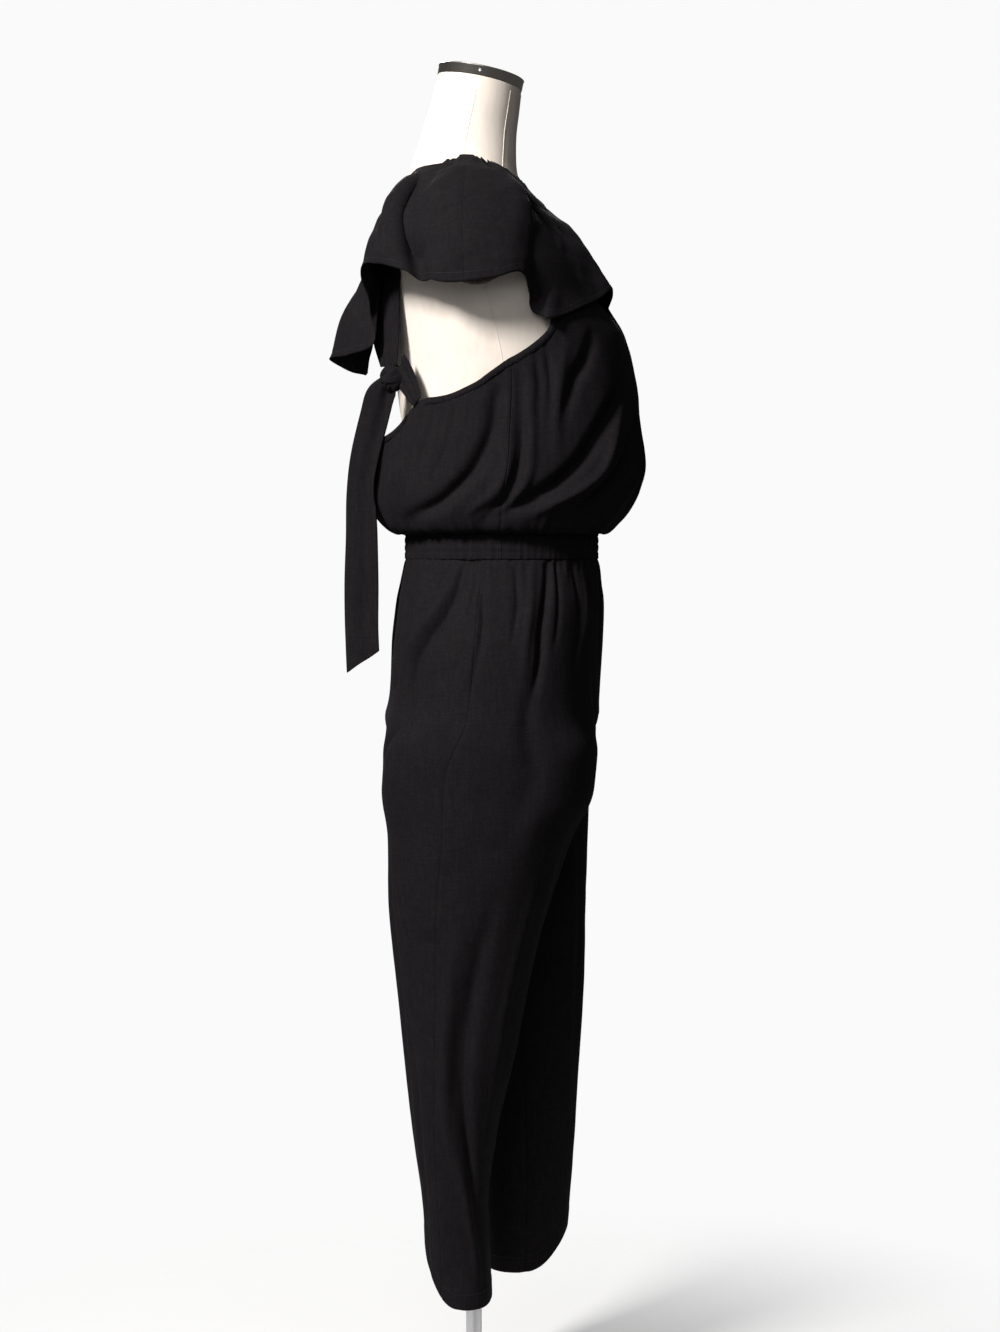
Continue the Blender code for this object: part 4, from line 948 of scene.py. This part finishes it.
def bodice_relief(turn, row, z, top):
    """Folds, gathers and seams of the bodice, outward in metres."""
    low = np.where(row < 2, 1.060 - (2 - row) * 0.012, z)
    relief = 1.45 * fold_field(BODICE_FOLDS, turn, low, BODICE_REACH)
    relief += gathers(turn, np.maximum(0, low - 1.044), BODICE_REACH, 84, -pi / 2, 1.5 * pi,
                      (0.8, 2.6), (0.020, 0.075), 11, (2.2, 4.6))
    below = np.maximum(0, top - z)
    # small pleats let into the armhole casing, and fewer along the low back edge
    relief += gathers(turn, below, BODICE_REACH, 30, radians(62), radians(128),
                      (0.5, 1.7), (0.010, 0.045), 23, (1.2, 2.4)) * smooth((below - 0.001) / 0.006)
    relief += gathers(turn, below, BODICE_REACH, 34, radians(140), radians(268),
                      (0.3, 1.3), (0.010, 0.040), 29, (1.6, 3.2)) * smooth((below - 0.001) / 0.006)
    settle = smooth((top - z) / 0.035)
    return relief * (0.25 + 0.75 * settle)


def bodice(form_skin):
    """Front and back worked as one round, so their folds and edges agree at the seams."""
    inset = SEAM_GAP / 2 / BODICE_REACH
    halves = [fine_ends(radians(low) + inset, radians(high) - inset, 172, radians(0.8))
              for low, high in ((-90, 90), (90, 270))]
    levels = np.concatenate((np.linspace(0, 0.22, 34, endpoint=False), np.linspace(0.22, 1, 92)))
    turn, level = np.meshgrid(np.concatenate(halves), levels)
    top = np.where(turn < pi / 2, edge_heights(FRONT_TOP, turn), edge_heights(BACK_TOP, turn))
    grid = bodice_points(turn, bodice_rows_at(top) * level)
    z = grid[..., 2].copy()
    relief = bodice_relief(turn, bodice_rows_at(top) * level, z, top)
    press_seams(relief, halves, BODICE_REACH, 2.5)
    relief += ripple(grid, 0.050, 3, 2.5) * 0.50 * MM + ripple(grid, 0.017, 4, 2.0) * 0.14 * MM
    grid += round_normals(grid) * relief[..., None]
    above = levels > 0.55
    grid[above] = keep_clear(grid[above], (form_skin,), 1.0 * MM + CLOTH / 2)
    count = len(halves[0])
    return [shown_as(cloth_piece(node + "_cloth", part), node)
            for node, part in (("bodice_front", grid[:, :count]), ("bodice_back", grid[:, count:]))]


def casing(name, node, edges, low, high, joint=None):
    """A narrow folded binding that wraps over a gathered edge, puckered along it."""
    turns = np.linspace(radians(low), radians(high), int((high - low) * 3.4))
    if joint is None:
        top = edge_heights(edges, turns)
    else:
        before, after = (edge_heights(edge, turns) for edge in edges)
        top = np.where(turns < radians(joint), before, after)
    profile = ((-BINDING, 0.95), (-BINDING * 0.66, 1.75), (-BINDING * 0.33, 1.85), (-0.4 * MM, 1.55),
               (0.9 * MM, 0.7), (0.9 * MM, -0.6), (-1.2 * MM, -1.35), (-4.2 * MM, -1.25))
    rows = []
    for drop, out in profile:
        row = bodice_rows_at(top + min(drop, 0.0))
        points = bodice_points(turns, row)
        ahead = bodice_points(turns + 0.01, row) - bodice_points(turns - 0.01, row)
        up = bodice_points(turns, row + 0.01) - bodice_points(turns, row - 0.01)
        normal = np.cross(up, ahead)
        normal /= np.linalg.norm(normal, axis=1, keepdims=True)
        up /= np.linalg.norm(up, axis=1, keepdims=True)
        waver = np.sin(turns * 31) * 1.3
        pucker = np.sin(turns * BODICE_REACH / PUCKER_PITCH * 2 * pi + waver + drop * 300)
        swell = (out + 0.22 * pucker * (out > 0)) * MM
        rows.append(points + normal * swell[:, None] + up * max(drop, 0.0))
    grid = np.array(rows)
    return shown_as(cloth_piece(name, grid, 1.0, 0.8 * MM), node), grid


def waistband(name, node, low, high):
    """Half of the elastic waistband, gathered between its three stitched rows."""
    inset = SEAM_GAP / 2 / WAIST_REACH
    turns = fine_ends(radians(low) + inset, radians(high) - inset, 210, radians(0.8))
    turn, z = np.meshgrid(turns, np.linspace(BAND_LOW - 0.25 * MM, BAND_HIGH, 22))
    last = HIPS[-1]
    x, y = oval(turn, last.squareness)
    grid = np.stack((x * last.half_width, (last.front + last.back) / 2
                     + y * (last.back - last.front) / 2, z), axis=-1)
    middle = np.abs(z - (BAND_LOW + BAND_HIGH) / 2)
    relief = gathers(turn, middle * 0.4, 0.135, 96, -pi / 2, 1.5 * pi,
                     (0.5, 1.5), (0.02, 0.09), 41, (1.2, 2.6))
    for row in WAIST_ROWS:
        relief *= 1 - 0.55 * np.exp(-((z - row) / (1.1 * MM)) ** 2)
        relief -= 0.35 * MM * np.exp(-((z - row) / (0.9 * MM)) ** 2)
    grid += normals_of(grid) * relief[..., None]
    return shown_as(cloth_piece(name, grid, 1.0, 2.0 * MM), node)


def hem_height(leg, turn):
    """Height of a leg's hem round the leg; it rises to one side."""
    depth = -np.sin(turn)
    if leg is RIGHT_LEG:
        return HEM_Z + 0.070 * np.maximum(0.0, (depth + 0.12) / 1.12) ** 1.8
    return HEM_Z + 0.050 * np.maximum(0.0, (-depth + 0.10) / 1.10) ** 1.6


def trouser_leg(side, leg, folds, seed, form_skin):
    """One leg worked as a round, then cut into its front and back at the seams."""
    hand = 1.0 if leg is RIGHT_LEG else -1.0
    inset = SEAM_GAP / 2 / LEG_REACH
    halves = [fine_ends(radians(low) + inset, radians(high) - inset, 104, radians(1.1))
              for low, high in ((0, SIDE_SEAM), (SIDE_SEAM, 360))]
    levels = np.concatenate((np.linspace(0, 0.03, 10, endpoint=False),
                             np.linspace(0.03, 0.86, 170, endpoint=False),
                             np.linspace(0.86, 1.0, 46)))
    turn, level = np.meshgrid(np.concatenate(halves), levels)
    hem = hem_height(leg, turn)
    top = HIPS[-1].z
    z = hem + (top - hem) * level
    grid = leg_points(leg, turn, z)
    normals = round_normals(grid, hand)
    front_face = smooth((-normals[..., 1] - 0.3) / 0.6)
    back_face = smooth((normals[..., 1] - 0.3) / 0.6)
    strength = 1.45 + 0.35 * smooth((z - 0.80) / 0.1) if leg is RIGHT_LEG else 0.9
    relief = fold_field(folds, turn, z, LEG_REACH) * strength * (1 - 0.45 * front_face)
    relief += gathers(turn, top - z, 0.066, 40, 0, 2 * pi, (0.6, 2.3), (0.016, 0.095), seed, (1.6, 3.6))
    press_seams(relief, halves, LEG_REACH, 2.4)
    relief += (ripple(grid, 0.075, seed + 1, 2.5) * 0.65 * MM
               + ripple(grid, 0.020, seed + 2, 2.0) * 0.13 * MM)
    # the hem is turned up twice, 22 mm deep, and stitched
    above = z - hem
    relief += 0.45 * MM * (1 - smooth((above - HEM_DEPTH) / 0.0022))
    relief -= 0.30 * MM * np.exp(-((above - HEM_STITCH) / (1.0 * MM)) ** 2)
    relief *= 0.35 + 0.65 * smooth((top - z + 0.004) / 0.012)
    # the fork's cloth carries on straight from the hips into the legs, front and back
    relief += front_face * 8.5 * MM * np.exp(-((z - 0.806) / 0.026) ** 2)
    relief += back_face * 8.5 * MM * np.exp(-((z - 0.812) / 0.034) ** 2)
    # the legs almost touch along their inside seams, so little stands out there
    inner = smooth((np.cos(turn) - 0.2) / 0.6) * smooth((0.80 - z) / 0.05)
    relief = relief - np.maximum(relief - 0.8 * MM, 0) * inner
    grid += normals * relief[..., None]
    over_form = levels > (0.868 - HEM_Z) / (top - HEM_Z)
    grid[over_form] = keep_clear(grid[over_form], (form_skin,), 0.9 * MM + CLOTH / 2)
    count = len(halves[0])
    panels = []
    for half, part, heights in (("front", grid[:, :count], (z - hem)[:, :count]),
                                ("back", grid[:, count:], (z - hem)[:, count:])):
        row = int(np.argmin(np.abs(heights[:, 50] - HEM_STITCH)))
        panels.append(hemmed("trouser_%s_%s" % (side, half), part, hand, row))
    return panels


def ribbed(ribs, place, part):
    """Points of the flounce: place counts ribs, part runs from the seam to the hem."""
    keys = np.arange(len(ribs))
    seam, edge = (np.stack([through(keys, [getattr(rib, side)[a] for rib in ribs], place)
                            for a in range(3)], axis=-1) for side in ("seam", "edge"))
    swell = through(keys, column(ribs, "swell"), place)
    outward = np.stack((seam[..., 0], seam[..., 1] * 1.6, np.zeros_like(part)), axis=-1)
    outward /= np.linalg.norm(outward, axis=-1, keepdims=True)
    outward[..., 2] += 0.7
    outward /= np.linalg.norm(outward, axis=-1, keepdims=True)
    bulge = swell * np.sin(pi * part ** 1.15)
    return seam + (edge - seam) * part[..., None] + outward * bulge[..., None]


# soft troughs and ridges of the flounce: depth and half-width in millimetres, then
# (rib number, share of the fall, strength) points
FLOUNCE_FRONT_FOLDS = (
    Fold(-2.0, 5.0, ((11.6, 0.06, 0.8), (11.7, 0.20, 1.0), (11.4, 0.42, 0.2))),
    Fold(-7.5, 8.0, ((11.9, 0.10, 0.4), (11.5, 0.35, 0.9), (11.0, 0.62, 1.2), (10.4, 0.98, 1.2))),
    Fold(3.2, 7.0, ((8.2, 0.05, 0.3), (7.8, 0.50, 1.0), (7.4, 0.98, 0.7))),
    Fold(-4.0, 8.0, ((6.6, 0.02, 0.5), (6.4, 0.50, 1.0), (6.1, 0.98, 0.6))),
    Fold(-4.5, 8.0, ((4.6, 0.02, 0.5), (4.5, 0.50, 1.0), (4.7, 0.98, 0.8))),
    Fold(3.0, 7.0, ((3.4, 0.05, 0.3), (3.3, 0.60, 1.0), (3.2, 0.98, 0.7))),
    Fold(-3.6, 6.0, ((2.2, 0.02, 0.5), (2.3, 0.50, 1.0), (2.1, 0.98, 0.8))),
    Fold(-2.0, 4.0, ((13.2, 0.03, 1.0), (13.1, 0.10, 0.8), (13.0, 0.20, 0.1))),
    Fold(1.8, 8.0, ((12.6, 0.10, 0.2), (12.5, 0.45, 1.0), (12.6, 0.90, 0.5))),
)
FLOUNCE_BACK_FOLDS = (
    Fold(-9.0, 8.5, ((2.2, 0.03, 0.5), (2.3, 0.25, 1.0), (2.4, 0.55, 1.0), (2.2, 0.98, 0.9))),
    Fold(4.5, 9.0, ((3.3, 0.05, 0.3), (3.5, 0.40, 1.0), (3.6, 0.90, 0.8))),
    Fold(-3.0, 7.0, ((5.0, 0.04, 0.6), (5.2, 0.40, 1.0), (5.5, 0.85, 0.5))),
    Fold(1.8, 6.0, ((1.6, 0.05, 0.2), (1.7, 0.45, 1.0), (1.6, 0.90, 0.4))),
    Fold(-3.4, 7.0, ((6.8, 0.04, 0.5), (6.9, 0.50, 1.0), (6.8, 0.95, 0.6))),
    Fold(-3.0, 6.0, ((8.8, 0.04, 0.5), (8.7, 0.50, 1.0), (8.9, 0.95, 0.6))),
    Fold(-3.0, 6.0, ((10.4, 0.04, 0.5), (10.5, 0.50, 1.0), (10.4, 0.95, 0.6))),
)
RIB_PITCH = 0.019           # typical distance between ribs
FALL = 0.110                # typical length of the fall


def flounce(form_skin, bodice_skin):
    """Both halves worked as one, from the front's far end to the back's, then cut at the shoulder."""
    ribs = FLOUNCE_FRONT + FLOUNCE_BACK[1:]
    shoulder, last = len(FLOUNCE_FRONT) - 1, len(ribs) - 1
    gap = SEAM_GAP / 2 / RIB_PITCH
    halves = [fine_ends(0.0, shoulder - gap, 200, 0.06), fine_ends(shoulder + gap, last, 176, 0.06)]
    rows = 68
    place, part = np.meshgrid(np.concatenate(halves), np.linspace(0, 1, rows))
    grid = ribbed(ribs, place, part)
    toward = grid - np.array((0.0, 0.0, 1.34))
    hand = 1.0 if (normals_of(grid) * toward).sum() > 0 else -1.0
    normals = normals_of(grid, hand)
    # the fold tables are in ribs and shares of the fall
    u, v = place * RIB_PITCH, part * FALL
    folds = list(FLOUNCE_FRONT_FOLDS)
    folds += [Fold(f.depth, f.width, tuple((p + shoulder, q, n) for p, q, n in f.path))
              for f in FLOUNCE_BACK_FOLDS]
    scaled = [Fold(f.depth, f.width, tuple((degrees(p * RIB_PITCH / 0.1), q * FALL, n)
                                           for p, q, n in f.path)) for f in folds]
    relief = fold_field(scaled, u / 0.1, v, 0.1)
    relief += gathers(u / 0.1, v, 0.1, 3 * len(ribs), 0.0, last * RIB_PITCH / 0.1,
                      (0.5, 1.8), (0.010, 0.045), 71, (1.5, 3.4))
    relief += ripple(grid, 0.045, 72) * 0.50 * MM + ripple(grid, 0.016, 73) * 0.14 * MM
    ends = smooth(np.minimum(place, last - place) / 1.5)
    relief = relief * 1.7 + 4.2 * MM * smooth(part / 0.30) * ends
    relief *= smooth(part / 0.05)
    relief -= 0.35 * MM * np.exp(-((1 - part) * FALL - 0.006) ** 2 / (1.0 * MM) ** 2)
    relief -= 0.30 * MM * np.exp(-((place - shoulder) * RIB_PITCH / (1.4 * MM)) ** 2)
    grid += normals * relief[..., None]
    stand_off = FLOUNCE_LIFT * np.minimum(1.0, 6 * part)
    grid = keep_clear(grid, (bodice_skin,), 1.5 * MM + 2 * LAY_GAP + stand_off)
    grid = keep_clear(grid, (form_skin,), STRAP_LIFT + CLOTH + LAY_GAP + CLOTH / 2 + stand_off)
    count = len(halves[0])
    row = int(rows * 0.945)
    return [hemmed("flounce_front", grid[:, :count], hand, row),
            hemmed("flounce_back", grid[:, count:], hand, row)]


def ribbon(points, skins, columns, rows, gap):
    """A strip through its table: rows run along it, columns across it."""
    place = np.linspace(0, len(points) - 1, rows)
    keys = np.arange(len(points))
    middle, across = (np.stack([through(keys, [getattr(p, field)[a] for p in points], place)
                                for a in range(3)], axis=-1) for field in ("middle", "across"))
    across /= np.linalg.norm(across, axis=-1, keepdims=True)
    width = through(keys, column(points, "width"), place)
    share = np.linspace(-0.5, 0.5, columns)
    grid = middle[:, None] + across[:, None] * (width[:, None] * share)[..., None]
    if skins:
        grid = keep_clear(grid, skins, gap)
    return grid, np.meshgrid(share, place)


def outward_hand(grid, centre):
    middle = grid[grid.shape[0] // 2, grid.shape[1] // 2] - np.array(centre)
    normal = normals_of(grid)[grid.shape[0] // 2, grid.shape[1] // 2]
    return 1.0 if normal @ middle > 0 else -1.0


def shoulder_strap(form_skin):
    grid, (share, place) = ribbon(STRAP, (form_skin,), 34, 150, STRAP_LIFT + CLOTH / 2)
    hand = outward_hand(grid, (0, 0, 1.30))
    relief = np.zeros_like(share)
    for middle, wide, tall in ((-0.34, 0.07, 0.8), (-0.08, 0.09, 1.0), (0.17, 0.06, 0.7),
                               (0.36, 0.05, 0.8)):
        relief += tall * MM * np.exp(-((share - middle - 0.03 * np.sin(place * 2.1)) / wide) ** 2)
    relief *= smooth((place - 3.5) / 2.0)
    grid += normals_of(grid, hand) * relief[..., None]
    strap = cloth_piece("shoulder_strap_cloth", grid, hand)
    shown_as(strap, "shoulder_strap")
    return strap


def corner_tab(skins):
    grid, (share, place) = ribbon(CORNER_TAB, skins, 22, 36, CLOTH / 2 + 2 * LAY_GAP)
    hand = outward_hand(grid, (0, 0, 1.30))
    relief = 1.1 * MM * np.sin(share * 17 + 0.8 * place) * smooth((place + 0.3) / 1.2)
    relief += 1.2 * MM * np.cos(share * pi)
    grid += normals_of(grid, hand) * relief[..., None]
    tab = cloth_piece("corner_tab_cloth", grid, hand)
    shown_as(tab, "corner_tab")
    return tab


def knot():
    """The folded core of the knot, and the turn of cloth round its middle."""
    half = np.array(tuple(KNOT_HALF)) * 0.97
    rows, cols, pole = 56, 84, 0.02
    across, down = np.meshgrid(np.linspace(0, 2 * pi, cols, endpoint=False),
                               np.linspace(pole, pi - pole, rows))
    ring = np.sin(down)
    tuck = (1 - np.abs(np.sin(1.5 * (across + 2.1 * np.cos(down)) + 0.5))) ** 3
    bulge = 1.0 - 0.16 * tuck * ring + 0.05 * np.sin(5 * across + 3 * np.cos(down))
    points = np.stack((half[0] * ring * np.cos(across), half[1] * ring * np.sin(across),
                       -half[2] * np.cos(down)), axis=-1) * bulge[..., None]
    points += np.array(tuple(KNOT_CENTRE))
    core = mesh_piece("knot_folds", points.reshape(-1, 3), capped_faces(rows, cols), CREPE)
    shown_as(core, "tie_knot")
    rows, cols = 18, 72
    across, over = np.meshgrid(np.linspace(0, 2 * pi, cols, endpoint=False),
                               np.linspace(0, 2 * pi, rows, endpoint=False))
    reach = 0.93 + 0.10 * np.cos(over) + 0.02 * np.sin(3 * across)
    high = np.sin(over) * (4.6 + 0.8 * np.sin(2 * across)) * MM
    lean = 0.35 * np.cos(across + 0.6)
    wrap = np.stack((half[0] * reach * np.cos(across), half[1] * reach * np.sin(across),
                     high + lean * half[2] * 0.5 + 0.3 * MM * np.sin(over * 4)), axis=-1)
    wrap += np.array(tuple(KNOT_CENTRE))
    band = mesh_piece("knot_turn", wrap.reshape(-1, 3), looped_faces(rows, cols), CREPE)
    return core, band


def tie_end(bodice_skin):
    """The hanging end of the tie, with a stitched line near each edge."""
    grid, (share, place) = ribbon(TIE, (bodice_skin,), 40, 190, 3 * MM + 2 * LAY_GAP)
    slope = np.linspace(0, 1, grid.shape[1])
    grid[..., 2] -= TIE_POINT * slope * smooth((place - (len(TIE) - 2)) / 1.0) ** 1.5
    hand = outward_hand(grid, (1, 0, 1))
    down = smooth(place / 0.8)
    relief = 2.6 * MM * np.sin(share * 9.5 + 0.5 * np.sin(place * 0.8)) * (1 - 0.5 * place / 7)
    relief += 1.6 * MM * np.cos(share * 17 + place * 0.5) * (1 - smooth(place / 2.5))
    relief += 1.2 * MM * np.sin(place * 1.7 + share * 2.0)
    edge = (0.5 - np.abs(share)) * TIE_WIDTH
    relief = relief * (0.5 + 0.5 * down)
    relief -= 0.3 * MM * np.exp(-((edge - 3.0 * MM) / (0.9 * MM)) ** 2)
    grid += normals_of(grid, hand) * relief[..., None]
    grid = keep_clear(grid, (bodice_skin,), 1.9 * MM + LAY_GAP)
    tie = cloth_piece("tie_end_cloth", grid, hand, 1.8 * MM)
    shown_as(tie, "tie_end")
    lines = []
    for k, column_at in enumerate((3, grid.shape[1] - 4)):
        out = normals_of(grid, hand)[:, column_at]
        lines.append(stitches("tie_stitch_%d" % (k + 1), grid[:, column_at] + out * 0.95 * MM, out))
    return tie, lines


def garment(form_skin):
    """Every piece of cloth on the form."""
    top_row = len(BODICE) - 1
    turn, row = np.meshgrid(np.linspace(0, 2 * pi, 120, endpoint=False), np.linspace(2, top_row, 60))
    envelope = skin_tree(bodice_points(turn, row))
    front, back = bodice(form_skin)
    arm, arm_grid = casing("armhole_casing", "armhole_binding", (FRONT_TOP, BACK_TOP), 66.5, 127.5, 90)
    low_back, low_grid = casing("back_casing", "back_binding", BACK_TOP, 138, 269.6)
    for piece, grid in ((arm, arm_grid), (low_back, low_grid)):
        out = normals_of(grid)[1]
        line = grid[0] * 0.7 + grid[1] * 0.3 + out * 0.5 * MM
        stitches(piece.name + "_stitch", line, out)
    bands = [waistband("waistband_front_cloth", "waistband_front", -90, 90),
             waistband("waistband_back_cloth", "waistband_back", 90, 270)]
    legs = trouser_leg("right", RIGHT_LEG, RIGHT_LEG_FOLDS, 51, form_skin)
    legs += trouser_leg("left", LEFT_LEG, LEFT_LEG_FOLDS, 67, form_skin)
    strap = shoulder_strap(form_skin)
    tab = corner_tab((form_skin,))
    core, turn_band = knot()
    tie, tie_lines = tie_end(envelope)
    flounces = flounce(form_skin, envelope)


# ---- light, floor and camera ------------------------------------------------
def pale_dome():
    """A white surround seen by the camera only, and a floor that fades into it."""
    material, tree, shader = shader_of("surround", (0.0, 0.0, 0.0), 1.0)
    shader.inputs["Emission Color"].default_value = (0.955, 0.955, 0.955, 1)
    shader.inputs["Emission Strength"].default_value = 1.0
    shader.inputs["Specular IOR Level"].default_value = 0.0
    rows, sides, radius = 16, 32, 12.0
    vertices = [(radius * cos(a) * cos(b), radius * cos(a) * sin(b), radius * sin(a))
                for a in np.linspace(-1.5, 1.5, rows)
                for b in np.linspace(0, 2 * pi, sides, endpoint=False)]
    mesh = bpy.data.meshes.new("dome")
    mesh.from_pydata(vertices, [], capped_faces(rows, sides))
    mesh.materials.append(material)
    dome = bpy.data.objects.new("dome", mesh)
    for ray in ("diffuse", "glossy", "transmission", "shadow"):
        setattr(dome, "visible_" + ray, False)

    material, tree, shader = shader_of("floor_white", (0.72, 0.72, 0.72), 0.9)
    place = tree.nodes.new("ShaderNodeTexCoord")
    distance = tree.nodes.new("ShaderNodeVectorMath")
    distance.operation = "LENGTH"
    tree.links.new(place.outputs["Object"], distance.inputs[0])
    fade = tree.nodes.new("ShaderNodeMapRange")
    fade.interpolation_type = "SMOOTHSTEP"
    for socket, value in (("From Min", 0.15), ("From Max", 1.00), ("To Min", 1.0), ("To Max", 0.0)):
        fade.inputs[socket].default_value = value
    tree.links.new(distance.outputs["Value"], fade.inputs["Value"])
    tree.links.new(fade.outputs["Result"], shader.inputs["Alpha"])
    sides, reach, level = 96, 1.7, -0.0006
    ring = [(reach * cos(a), reach * sin(a), level)
            for a in np.linspace(0, 2 * pi, sides, endpoint=False)]
    mesh = bpy.data.meshes.new("floor")
    mesh.from_pydata(ring, [], [tuple(range(sides))])
    mesh.materials.append(material)
    floor = bpy.data.objects.new("floor", mesh)
    for piece in (dome, floor):
        bpy.context.collection.objects.link(piece)


def lights():
    world = bpy.data.worlds.new("studio")
    bpy.context.scene.world = world
    world.use_nodes = True
    background = world.node_tree.nodes["Background"]
    background.inputs["Color"].default_value = (0.98, 0.98, 1.0, 1)
    background.inputs["Strength"].default_value = 0.08
    # name, place, aim, watts, width and colour
    for name, place, target, energy, size, colour in (
            ("key", (-2.2, 1.7, 3.0), (0, -0.02, 1.0), 180, 0.7, (1.0, 0.985, 0.96)),
            ("fill", (-3.4, 0.6, 2.2), (0, -0.03, 0.9), 18, 1.6, (1.0, 0.99, 0.98)),
            ("back", (2.6, 0.2, 2.8), (0, 0, 1.1), 90, 1.2, (1.0, 1.0, 1.0))):
        data = bpy.data.lights.new(name, "AREA")
        data.energy = energy
        data.size = size
        data.color = colour
        lamp = bpy.data.objects.new(name, data)
        bpy.context.collection.objects.link(lamp)
        lamp.location = place
        lamp.rotation_euler = (Vector(target) - Vector(place)).to_track_quat("-Z", "Y").to_euler()


def camera():
    data = bpy.data.cameras.new("camera")
    data.lens = 65.95
    data.sensor_width = 36.0
    data.clip_end = 60.0
    eye = bpy.data.objects.new("camera", data)
    bpy.context.collection.objects.link(eye)
    eye.location = (-2.9, -0.0315, 1.0441)
    pitch = radians(2.96)
    eye.rotation_euler = Vector((cos(pitch), 0, -sin(pitch))).to_track_quat("-Z", "Y").to_euler()
    bpy.context.scene.camera = eye


camera()
# the display transform that leaves the white surround white
bpy.context.scene.view_settings.view_transform = "Standard"
FORM_SKIN = form_cover()
neck_trim()
arm_plate("arm_plate_right_disc", "arm_plate_right", -1)
arm_plate("arm_plate_left_disc", "arm_plate_left", 1)
stand()
garment(FORM_SKIN)
pale_dome()
lights()
